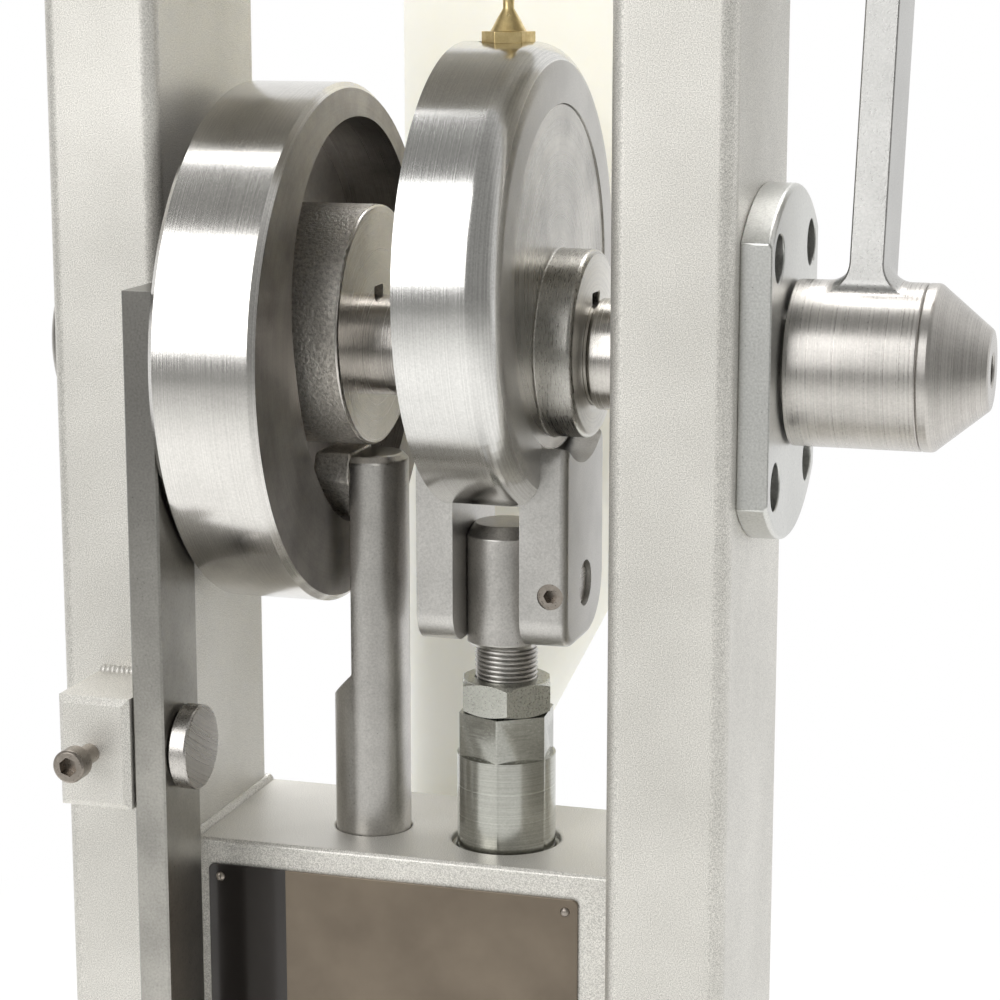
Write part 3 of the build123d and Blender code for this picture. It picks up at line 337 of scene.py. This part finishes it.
# %% Brass
def brass_finish(name, base, gloss):
    """Brass with duller clouds. Gloss is the roughness where it shines and where it is dull."""
    metal = Finish(name, metallic=1.0)
    cloud = metal.noise(260, 4.0, 0.6)
    dull = (base[0] * 0.72, base[1] * 0.68, base[2] * 0.6)
    metal.colour(metal.ramp(cloud, (0.3, dull), (0.65, base)))
    metal.roughness(metal.ramp(cloud, (0.3, gloss[1]), (0.7, gloss[0])))
    metal.relief((metal.noise(900, 2.0), 0.1, 0.05))
    return metal.material


brass = brass_finish("oiler_brass", (0.96, 0.78, 0.42), (0.26, 0.42))
shoe_brass = brass_finish("shoe_brass", (0.78, 0.60, 0.33), (0.22, 0.36))
bush_steel = plated_steel("bush_steel", (0.56, 0.55, 0.50), (0.26, 0.40), 1400, 0.2, 0.2)
print("made", brass.name, shoe_brass.name, bush_steel.name)

# %% [markdown]
# ## The bin's plastic
#
# The bin is cream polyethylene that lets a little light through, so its walls glow where they are
# thin. Subsurface scattering does this, with a radius that is longest for red.

# %% Bin plastic
def bin_plastic():
    """Cream polyethylene with faint waves from moulding."""
    shell = Finish("bin_plastic", roughness=0.42)
    cloud = shell.noise(14, 3.0)
    shell.colour(shell.ramp(cloud, (0.3, (0.94, 0.91, 0.78)), (0.7, (0.97, 0.95, 0.86))))
    shell.shader.inputs["Subsurface Weight"].default_value = 0.35
    shell.shader.inputs["Subsurface Scale"].default_value = 0.02
    shell.shader.inputs["Subsurface Radius"].default_value = (1.0, 0.85, 0.6)
    shell.relief((cloud, 0.2, 0.4))
    return shell.material


cream = bin_plastic()
print("made", cream.name)

# %% [markdown]
# ## The plate
#
# The plate on the block is a dark bronze sheet with a darker band at its left end. A thin clear coat
# lies over both, so it mirrors softly although the metal below is dull.

# %% Plate
def plate_finish(band_edge):
    """Dark bronze, with a darker band left of an edge."""
    plate = Finish("plate_bronze", metallic=0.55)
    split = plate.add("ShaderNodeSeparateXYZ", Vector=plate.place).outputs
    band = plate.math("LESS_THAN", split[0], band_edge)
    cloud = plate.noise(60, 4.0)
    open_part = plate.ramp(cloud, (0.3, (0.115, 0.088, 0.060)), (0.7, (0.165, 0.130, 0.092)))
    plate.colour(plate.mix(band, open_part, (0.030, 0.026, 0.024)))
    plate.roughness(plate.ramp(cloud, (0.3, 0.16), (0.7, 0.26)))
    plate.shader.inputs["Coat Weight"].default_value = 0.4
    plate.shader.inputs["Coat Roughness"].default_value = 0.08
    plate.relief((cloud, 0.06, 0.2))
    return plate.material


plate_bronze = plate_finish(band_edge=-37.5 * mm)
print("made", plate_bronze.name)

# %% [markdown]
# ## The grip's wood
#
# The crank's grip is turned wood. Its rings follow the grip's own axis, and fine pores make the
# surface a little rougher where they lie.

# %% Wood
def grip_wood(axis_y, axis_z):
    """Turned wood with rings around an axis along X."""
    wood = Finish("grip_wood", roughness=0.4)
    place = wood.lathe_place("X", (axis_y, axis_z), 60, 9)
    figure = wood.noise(1.0, 5.0, 0.6, place)
    pore = wood.noise(700, 2.0)
    wood.colour(wood.ramp(figure, (0.28, (0.16, 0.075, 0.032)), (0.72, (0.36, 0.19, 0.085))))
    wood.roughness(wood.ramp(pore, (0.3, 0.5), (0.7, 0.34)))
    wood.relief((pore, 0.15, 0.08))
    return wood.material


grip_middle = middle("handle_grip")
wood = grip_wood(grip_middle.y, grip_middle.z)
print("finishes in all:", len(bpy.data.materials))

# %% [markdown]
# ## Rounded edges for every milled piece
#
# A machined edge is never razor sharp, and the thin bright line on it is what makes metal look
# solid. Each CAD node is copied, its loose triangles are merged, its flat faces are joined again,
# and a Bevel modifier rounds the edges. The copy then stands for the node.

# %% Copy a node
def solid_copy(node, name):
    """A merged copy of a node's mesh, with each flat face in one piece."""
    shape = bmesh.new()
    shape.from_mesh(frame["nodes"][node].data)
    bmesh.ops.remove_doubles(shape, verts=shape.verts, dist=2e-6)
    bmesh.ops.dissolve_limit(shape, angle_limit=radians(0.3), verts=shape.verts, edges=shape.edges,
                             delimit={"NORMAL"})
    shape.verts.index_update()
    mesh = bpy.data.meshes.new(name)
    mesh.from_pydata([v.co.copy() for v in shape.verts], [],
                     [[v.index for v in face.verts] for face in shape.faces])
    shape.free()
    return mesh


trial = solid_copy("guide_block", "trial")
print("the block has", len(trial.polygons), "faces after merging")
bpy.data.meshes.remove(trial)

# %% Settle a piece
crease = radians(38)


def settle(piece):
    """Turn the piece with its modifiers into a plain, smooth-shaded mesh."""
    weighted = piece.modifiers.new("even", "WEIGHTED_NORMAL")
    weighted.keep_sharp = True
    piece.data.shade_smooth()
    piece.data.set_sharp_from_angle(angle=crease)
    bpy.context.view_layer.update()
    seen = piece.evaluated_get(bpy.context.evaluated_depsgraph_get())
    mesh = bpy.data.meshes.new_from_object(seen)
    old = piece.data
    piece.modifiers.clear()
    piece.data = mesh
    bpy.data.meshes.remove(old)
    return piece


print("edges sharper than", round(crease, 3), "radians stay crisp")

# %% Let a piece stand for a node
body_of = {n: b for b, ns in frame["record"]["behaviour"]["bodies"].items() for n in ns}


def stand_for(piece, node):
    """The piece moves with the node's body, and hides the node."""
    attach(piece, body_of[node])
    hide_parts(node)


print("bodies with pieces:", len(set(body_of.values())))

# %% Round the edges and give a finish
edge_segments = 2


def dress(node, finish, edge_mm):
    """An edge-rounded copy of a node in its finish, which stands for the node."""
    mesh = solid_copy(node, node + "_look")
    piece = bpy.data.objects.new(node + "_look", mesh)
    scene.collection.objects.link(piece)
    mesh.materials.append(finish)
    bevel = piece.modifiers.new("edge", "BEVEL")
    bevel.width = edge_mm * mm
    bevel.segments = edge_segments
    bevel.limit_method = "ANGLE"
    bevel.angle_limit = crease
    bevel.miter_outer = "MITER_ARC"
    settle(piece)
    stand_for(piece, node)
    return piece


print("edges get", edge_segments, "segments")

# %% [markdown]
# ## The standing frame
#
# Each line names a node, its finish and how round its edges are in millimetres. Welded and painted
# plates have rounder edges than turned or ground pieces, because paint builds up on them.

# %% Dress the frame
for node in ("column_left", "column_right", "top_plate", "base_plate"):
    dress(node, paint, 1.0)
for node in ("guide_block", "lever_bracket", "die_table", "hopper_bracket"):
    dress(node, paint, 0.6)
dress("bearing_right", flange_zinc, 0.8)
dress("bearing_left", hub_steel, 0.5)
dress("ram_bush", bush_steel, 0.3)
dress("data_plate", plate_bronze, 0.2)
dress("lever_pivot", hub_steel, 0.4)
dress("clamp_screw", screw_steel, 0.4)
dress("hopper", cream, 0.5)
dress("feed_tube", sheet_metal, 0.3)
dress("tablet_chute", sheet_metal, 0.3)
dress("shoe_rail_left", shoe_brass, 0.4)
dress("shoe_rail_right", shoe_brass, 0.4)
dress("die", tool_steel, 0.2)
dress("die_lock_screw", screw_steel, 0.2)
print("frame dressed")

# %% [markdown]
# ## The moving pieces
#
# The same call dresses everything that turns, slides or swings. A copy rides on the body of the node
# that it stands for, so it follows the crank at every pose.

# %% Dress the moving pieces
dress("camshaft", journal_steel, 0.4)
sheave = dress("eccentric_sheave", sheave_steel, 0.5)
crank = dress("crank_arm", arm_steel, 0.8)
dress("hub_cap", hub_steel, 0.6)
dress("grip_spindle", hub_steel, 0.3)
dress("handle_grip", wood, 0.6)
dress("oiler", brass, 0.2)
dress("clevis_pin_left", hub_steel, 0.3)
dress("clevis_pin_right", hub_steel, 0.3)
dress("clevis_set_screw", screw_steel, 0.2)
dress("lock_nut", nut_zinc, 0.4)
dress("ram", ram_steel, 0.5)
dress("punch_screw", screw_steel, 0.2)
dress("upper_punch", tool_steel, 0.2)
dress("lift_rod", rod_steel, 0.5)
dress("cam_follower", cast_boss, 0.5)
dress("lift_yoke", lever_steel, 0.6)
dress("yoke_screw", screw_steel, 0.2)
dress("fill_adjuster", nut_zinc, 0.4)
dress("eject_adjuster", nut_zinc, 0.4)
dress("lower_punch", tool_steel, 0.2)
dress("feed_lever", lever_plate, 0.5)
dress("roller_pin", lever_steel, 0.2)
dress("lever_roller", tool_steel, 0.2)
dress("foot_pin", tool_steel, 0.2)
dress("feed_shoe", shoe_brass, 0.5)
dress("shoe_link", lever_steel, 0.5)
for key in ("drum_key", "sheave_key", "crank_key"):
    dress(key, screw_steel, 0.3)
print("moving pieces dressed")

# %% [markdown]
# ## Turned hubs
#
# The crank and the sheave are each one piece with a turned hub. A face belongs to the hub when it
# lies close to the shaft's axis, and gets the brushed finish that a lathe leaves.

# %% Brushed hubs on the crank and the sheave
def from_axis(place, height):
    """How far a place is from a line along X at a height."""
    return Vector((0, place.y, place.z - height)).length


def turn_hub(piece, finish, radius, left):
    """Faces closer to the shaft than radius, and right of left, take the hub's finish."""
    piece.data.materials.append(finish)
    slot = len(piece.data.materials) - 1
    hub = [face for face in piece.data.polygons
           if face.center.x > left and from_axis(face.center, shaft_z) < radius]
    for face in hub:
        face.material_index = slot
    return len(hub)


crank_hub_reach = 24.9 * mm
sheave_hub_reach = 26.0 * mm
sheave_hub_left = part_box("eccentric_strap")[1].x + 1.5 * mm
print("crank hub faces:", turn_hub(crank, hub_steel, crank_hub_reach, 0.0))
print("sheave hub faces:", turn_hub(sheave, sheave_hub, sheave_hub_reach, sheave_hub_left))

# %% [markdown]
# ## The cam drum
#
# One casting, four surfaces: a polished rim, an oily turned face, a rough cast boss and its ground
# end. They are told apart by where each face lies and which way it looks, so one mesh carries all
# four finishes and no seam can open between them.

# %% The cam drum's four surfaces
rim_reach = 78.3 * mm
boss_reach = 37.6 * mm
boss_rise = 6.1 * mm
boss_root_x = -44 * mm
boss_end_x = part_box("cam_drum")[1].x
edge_zone = 1.5 * mm


def drum_finish(c, n):
    """The slot for a face of the drum with its centre and its normal."""
    if from_axis(c, shaft_z) > rim_reach:
        return 0
    if c.x > boss_end_x - edge_zone:
        return 3
    if from_axis(c, shaft_z + boss_rise) < boss_reach and c.x > boss_root_x and abs(n.x) < 0.7:
        return 2
    return 1


def drum_surfaces():
    """The drum with its rim, oily face, cast boss and ground end."""
    drum = dress("cam_drum", rim_steel, 0.6)
    for finish in (drum_face, cast_boss, journal_steel):
        drum.data.materials.append(finish)
    for face in drum.data.polygons:
        face.material_index = drum_finish(face.center, face.normal)
    return drum


drum = drum_surfaces()
print("drum faces:", len(drum.data.polygons))

# %% [markdown]
# ## The strap
#
# Only the strap's outer rim is polished. Its right face and the clevis below are blasted to an even
# grey grain. As on the drum, the place and the direction of each face pick its finish.

# %% The strap's two surfaces
clevis_half_depth = 22.2 * mm
clevis_top_z = shaft_z - 24 * mm
faces_right = 0.93


def strap_surfaces():
    """The strap with a polished rim, and a blasted right face and clevis."""
    strap = dress("eccentric_strap", strap_steel, 0.5)
    strap.data.materials.append(clevis_steel)
    for face in strap.data.polygons:
        c, n = face.center, face.normal
        on_ring = abs(c.y) > clevis_half_depth or c.z > clevis_top_z
        face.material_index = 0 if on_ring and n.x < faces_right else 1
    return strap


strap = strap_surfaces()
print("strap faces:", len(strap.data.polygons))

# %% [markdown]
# ## Screw threads
#
# A thread is one ridge that climbs round a core, so its shape is a rule: a spiral curve with a small
# diamond swept along it. Geometry Nodes make it from four sizes. The rod end's own stem is drawn in
# first, to be the core.

# %% Start and close a tree
def node_tree(name, *sockets):
    """A Geometry Nodes tree with named number inputs and one mesh output."""
    tree = bpy.data.node_groups.new(name, "GeometryNodeTree")
    for socket, value in sockets:
        made = tree.interface.new_socket(socket, in_out="INPUT", socket_type="NodeSocketFloat")
        made.default_value = value
    tree.interface.new_socket("Mesh", in_out="OUTPUT", socket_type="NodeSocketGeometry")
    start = tree.nodes.new("NodeGroupInput")
    end = tree.nodes.new("NodeGroupOutput")
    return tree, start.outputs, end.inputs


def close_tree(tree, made, end, finish):
    """Realize what the tree made and give it its finish."""
    real = tree.nodes.new("GeometryNodeRealizeInstances")
    paint_on = tree.nodes.new("GeometryNodeSetMaterial")
    paint_on.inputs["Material"].default_value = finish
    tree.links.new(made, real.inputs[0])
    tree.links.new(real.outputs[0], paint_on.inputs["Geometry"])
    tree.links.new(paint_on.outputs[0], end[0])


print("tree helpers ready")

# %% A thread from four sizes
def thread_tree(finish):
    """A ridge that climbs round a core: pitch, length, core radius and ridge are inputs."""
    tree, sizes, end = node_tree("thread", ("Pitch", 0.0015), ("Length", 0.01), ("Core Radius", 0.009),
                                 ("Ridge", 0.0007))
    nodes, links = tree.nodes, tree.links
    turns = nodes.new("ShaderNodeMath")
    turns.operation = "DIVIDE"
    links.new(sizes["Length"], turns.inputs[0])
    links.new(sizes["Pitch"], turns.inputs[1])
    spiral = nodes.new("GeometryNodeCurveSpiral")
    spiral.inputs["Resolution"].default_value = 40
    links.new(turns.outputs[0], spiral.inputs["Rotations"])
    links.new(sizes["Core Radius"], spiral.inputs["Start Radius"])
    links.new(sizes["Core Radius"], spiral.inputs["End Radius"])
    links.new(sizes["Length"], spiral.inputs["Height"])
    upright = nodes.new("GeometryNodeSetCurveNormal")
    upright.mode = "Z_UP"
    links.new(spiral.outputs[0], upright.inputs[0])
    diamond = nodes.new("GeometryNodeCurvePrimitiveCircle")
    diamond.inputs["Resolution"].default_value = 4
    links.new(sizes["Ridge"], diamond.inputs["Radius"])
    sweep = nodes.new("GeometryNodeCurveToMesh")
    sweep.inputs["Fill Caps"].default_value = True
    links.new(upright.outputs[0], sweep.inputs["Curve"])
    links.new(diamond.outputs[0], sweep.inputs["Profile Curve"])
    close_tree(tree, sweep.outputs[0], end, finish)
    return tree


rod_thread = thread_tree(rod_steel)
print("thread tree has", len(rod_thread.nodes), "nodes")

# %% Grow a piece from a tree
def grown(name, tree, values, place):
    """A plain mesh piece grown by a tree from its input values, put in its place."""
    seed = bpy.data.objects.new(name, bpy.data.meshes.new(name))
    scene.collection.objects.link(seed)
    grow = seed.modifiers.new("grow", "NODES")
    grow.node_group = tree
    for item in tree.interface.items_tree:
        if item.in_out == "INPUT" and item.name in values:
            grow[item.identifier] = values[item.name]
    bpy.context.view_layer.update()
    seen = seed.evaluated_get(bpy.context.evaluated_depsgraph_get())
    mesh = bpy.data.meshes.new_from_object(seen)
    seed.modifiers.clear()
    seed.data = mesh
    mesh.transform(place)
    tidy = bmesh.new()
    tidy.from_mesh(mesh)
    bmesh.ops.recalc_face_normals(tidy, faces=tidy.faces)
    tidy.to_mesh(mesh)
    tidy.free()
    return seed


def ride_on(piece, node):
    """The piece moves with a node's body."""
    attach(piece, body_of[node])


print("pieces can grow")

# %% The rod end and its thread
pitch = 1.5 * mm
ridge = 0.74 * mm
stem_core = 9.05 * mm
stem_radii = (8.9 * mm, 9.95 * mm)
eye_low_z = shaft_z - 91.6 * mm
nut_high_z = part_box("lock_nut")[1].z
thread_start_z = nut_high_z - pitch
thread_length = eye_low_z - nut_high_z + 1.3 * mm

rod_end = dress("rod_end", rod_steel, 0.6)
for vertex in rod_end.data.vertices:
    off = Vector((vertex.co.x - ram_x, vertex.co.y, 0))
    on_stem = stem_radii[0] < off.length < stem_radii[1]
    if on_stem and vertex.co.z < eye_low_z + 0.05 * mm:
        vertex.co -= off * (1 - stem_core / off.length)
stem = grown("stem_thread", rod_thread,
             {"Pitch": pitch, "Length": thread_length, "Core Radius": stem_core, "Ridge": ridge},
             Matrix.Translation((ram_x, 0, thread_start_z)))
ride_on(stem, "rod_end")
print("thread faces:", len(stem.data.polygons))

# %% [markdown]
# ## Rivets and weld beads
#
# Four small rivets hold the plate. The block and the bracket are welded to the column, and each bead
# is a row of overlapping drops under the same silver paint. Both repeat one shape along a rule, so
# Geometry Nodes place the copies: on the corners of a grid for the rivets, along a line for a bead.

# %% Drops on a grid or in a row
def scatter_tree(name, finish, squash, grid):
    """Drops on the corners of a grid, or in a row of Count along Width."""
    tree, sizes, end = node_tree(name, ("Width", 0.1), ("Height", 0.05), ("Radius", 0.0015),
                                 ("Count", 2))
    nodes, links = tree.nodes, tree.links
    if grid:
        places = nodes.new("GeometryNodeMeshGrid")
        places.inputs["Vertices X"].default_value = 2
        places.inputs["Vertices Y"].default_value = 2
        links.new(sizes["Width"], places.inputs["Size X"])
        links.new(sizes["Height"], places.inputs["Size Y"])
    else:
        places = nodes.new("GeometryNodeMeshLine")
        places.mode = "END_POINTS"
        links.new(sizes["Count"], places.inputs["Count"])
        reach = nodes.new("ShaderNodeCombineXYZ")
        links.new(sizes["Width"], reach.inputs[0])
        links.new(reach.outputs[0], places.inputs["Offset"])
    drop = nodes.new("GeometryNodeMeshUVSphere")
    drop.inputs["Segments"].default_value = 16
    drop.inputs["Rings"].default_value = 8
    links.new(sizes["Radius"], drop.inputs["Radius"])
    copies = nodes.new("GeometryNodeInstanceOnPoints")
    links.new(places.outputs[0], copies.inputs["Points"])
    links.new(drop.outputs[0], copies.inputs["Instance"])
    copies.inputs["Scale"].default_value = squash
    close_tree(tree, copies.outputs[0], end, finish)
    return tree


rivet_tree = scatter_tree("rivets", screw_steel, (1, 1, 0.55), True)
bead_tree = scatter_tree("weld_bead", paint, (0.8, 1, 1), False)
print("rivet tree:", len(rivet_tree.nodes), "nodes, bead tree:", len(bead_tree.nodes), "nodes")

# %% Rivets on the plate
plate_low, plate_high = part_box("data_plate")
plate_middle = (plate_low + plate_high) / 2
plate_size = plate_high - plate_low
rivet_inset = 4 * mm
on_plate = Matrix.Translation((plate_middle.x, plate_low.y, plate_middle.z))
rivets = grown("plate_rivets", rivet_tree,
               {"Width": plate_size.x - 2 * rivet_inset, "Height": plate_size.z - 2 * rivet_inset,
                "Radius": 1.5 * mm}, on_plate @ Matrix.Rotation(radians(90), 4, "X"))
ride_on(rivets, "data_plate")
print("rivet faces:", len(rivets.data.polygons))

# %% Weld beads
block_low, block_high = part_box("guide_block")
bracket_low, bracket_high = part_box("lever_bracket")
bead_radius = 2.0 * mm
bead_step = 1.5 * mm
block_bead_y = block_low.y + 3 * mm
block_bead_length = 60 * mm
bracket_bead_x = bracket_low.x + 1.5 * mm
bracket_bead_length = 19 * mm
beads = (
    ("bead_block_left", "guide_block", (block_low.x, block_bead_y, block_high.z), 90, block_bead_length),
    ("bead_block_right", "guide_block", (block_high.x, block_bead_y, block_high.z), 90, block_bead_length),
    ("bead_bracket_top", "lever_bracket", (bracket_bead_x, bracket_high.y, bracket_high.z), 0,
     bracket_bead_length),
    ("bead_bracket_low", "lever_bracket", (bracket_bead_x, bracket_high.y, bracket_low.z), 0,
     bracket_bead_length),
)
for name, node, start, angle, length in beads:
    bead = grown(name, bead_tree,
                 {"Width": length, "Radius": bead_radius, "Count": round(length / bead_step)},
                 Matrix.Translation(start) @ Matrix.Rotation(radians(angle), 4, "Z"))
    for polygon in bead.data.polygons:
        polygon.use_smooth = True
    ride_on(bead, node)
print("beads:", len(beads))

# %% [markdown]
# ## Floor
#
# The floor is plain paper and keeps the press's shadow. Further out it turns to white for the camera
# and in mirrors, so that it meets the white background without an edge.

# %% Floor
def pale_floor():
    """Pale near the press, where it keeps the shadow, and plain white further out."""
    mesh = bpy.data.meshes.new("floor")
    size = 4.0
    level = -0.5 * mm
    corners = [(x * size, y * size, level) for x, y in ((-1, -1), (1, -1), (1, 1), (-1, 1))]
    mesh.from_pydata(corners, [], [(0, 1, 2, 3)])
    floor = bpy.data.objects.new("floor", mesh)
    scene.collection.objects.link(floor)
    coat = Finish("floor_paper", roughness=0.85)
    split = coat.add("ShaderNodeSeparateXYZ", Vector=coat.place).outputs
    x, y = split[0], split[1]
    from_press = coat.math("SQRT", coat.math("MULTIPLY_ADD", x, x, coat.math("MULTIPLY", y, y)))
    # Painted shade: the paper's colour darkens further from the press, for the dimmer light far from the
    # lamps, and metal in front mirrors that darker floor.
    coat.colour(coat.ramp(coat.math("MULTIPLY", from_press, 0.5),
                          (0.30, (0.80, 0.80, 0.79)), (0.75, (0.45, 0.45, 0.44))))
    outward = coat.ramp(from_press, (0.30, 0.0), (0.85, 1.0))
    behind = coat.ramp(coat.math("MULTIPLY_ADD", y, 0.5, 0.5), (0.45, 0.0), (0.75, 1.0))
    path = coat.nodes.new("ShaderNodeLightPath").outputs
    mirrored = coat.math("MAXIMUM", path["Is Glossy Ray"], path["Is Transmission Ray"])
    seen = coat.math("MAXIMUM", path["Is Camera Ray"], coat.math("MULTIPLY", mirrored, behind))
    white = coat.nodes.new("ShaderNodeEmission")
    blend = coat.nodes.new("ShaderNodeMixShader")
    coat.put(blend.inputs[0], coat.math("MULTIPLY", seen, outward))
    coat.put(blend.inputs[1], coat.shader.outputs[0])
    coat.put(blend.inputs[2], white.outputs[0])
    coat.put(coat.nodes["Material Output"].inputs["Surface"], blend.outputs[0])
    mesh.materials.append(coat.material)
    return floor


print("made", pale_floor().name)

# %% [markdown]
# ## World
#
# The world decides what the metal shows where no lamp is mirrored. The camera sees plain white. All
# other rays see a grey room in front that grows to white behind the press, so gloss shows the white
# background too.

# %% World
def studio_world():
    """White for the camera and behind the press, and a grey room in front for the metal to show."""
    world = bpy.data.worlds.new("studio")
    scene.world = world
    world.use_nodes = True
    nodes, links = world.node_tree.nodes, world.node_tree.links
    back = nodes["Background"]
    way = nodes.new("ShaderNodeTexCoord")
    split = nodes.new("ShaderNodeSeparateXYZ")
    links.new(way.outputs["Generated"], split.inputs[0])
    depth = nodes.new("ShaderNodeValToRGB")
    shift = nodes.new("ShaderNodeMath")
    shift.operation = "MULTIPLY_ADD"
    shift.inputs[1].default_value, shift.inputs[2].default_value = 0.5, 0.5
    links.new(split.outputs[1], shift.inputs[0])
    links.new(shift.outputs[0], depth.inputs["Fac"])
    front, behind = depth.color_ramp.elements
    front.position, front.color = 0.35, (0.32, 0.32, 0.31, 1)
    behind.position, behind.color = 0.72, (1.0, 1.0, 0.99, 1)
    path = nodes.new("ShaderNodeLightPath")
    pick = nodes.new("ShaderNodeMix")
    pick.data_type = "RGBA"
    links.new(path.outputs["Is Camera Ray"], pick.inputs[0])
    links.new(depth.outputs["Color"], pick.inputs[6])
    pick.inputs[7].default_value = (1, 1, 1, 1)
    links.new(pick.outputs[2], back.inputs["Color"])
    back.inputs["Strength"].default_value = 1.0


studio_world()
print("world:", scene.world.name)

# %% [markdown]
# ## Lamps
#
# Four soft boxes light the press. The front one stands to the left and is tall, because its picture
# is the bright band on the drum's rim. The ones at the right and near the top only lift the shade, so
# the metal doesn't mirror them.

# %% Lamps
def soft_box(name, place, aim, width, height, watts, mirrored=True):
    """A rectangular lamp that looks at a point. Metal shows its picture only where it is mirrored."""
    lamp = bpy.data.lights.new(name, "AREA")
    lamp.shape = "RECTANGLE"
    lamp.size, lamp.size_y = width, height
    lamp.energy = watts
    stand = bpy.data.objects.new(name, lamp)
    scene.collection.objects.link(stand)
    stand.location = place
    stand.rotation_euler = (Vector(aim) - Vector(place)).to_track_quat("-Z", "Y").to_euler()
    stand.visible_glossy = mirrored
    return stand


press_middle = (0, 0, 0.45)
soft_box("front_box", (-0.75, -1.70, 1.30), press_middle, 1.2, 1.75, 20)
soft_box("right_box", (1.9, -0.5, 0.9), press_middle, 0.7, 1.4, 9, False)
soft_box("near_top_box", (0.0, -0.5, 1.35), press_middle, 0.5, 0.4, 6.5, False)
soft_box("back_top_box", (-0.2, 0.6, 1.9), press_middle, 1.4, 1.0, 26)
print("lamps:", len(bpy.data.lights))

# %% [markdown]
# ## Camera
#
# The photograph looks down a little and from the right of the press. The camera's place, turn, tilt
# and lens were solved from the edges of the columns and the round faces of the drum and the strap.

# %% Camera
turn, tilt = radians(16.86), radians(11.3)
right_of_press, in_front, above_shaft = 0.25669, 0.76828, 0.11365
lens_mm, sensor_mm = 95.69, 36

camera = bpy.data.objects.new("camera", bpy.data.cameras.new("camera"))
scene.collection.objects.link(camera)
camera.location = (right_of_press, -in_front, shaft_z + above_shaft)
look = Vector((-sin(turn) * cos(tilt), cos(turn) * cos(tilt), -sin(tilt)))
camera.rotation_euler = look.to_track_quat("-Z", "Y").to_euler()
camera.data.sensor_width = sensor_mm
camera.data.lens = lens_mm
camera.data.clip_start = 0.05
scene.camera = camera
scene.view_settings.view_transform = "Standard"
print("camera at", [round(v, 3) for v in camera.location])
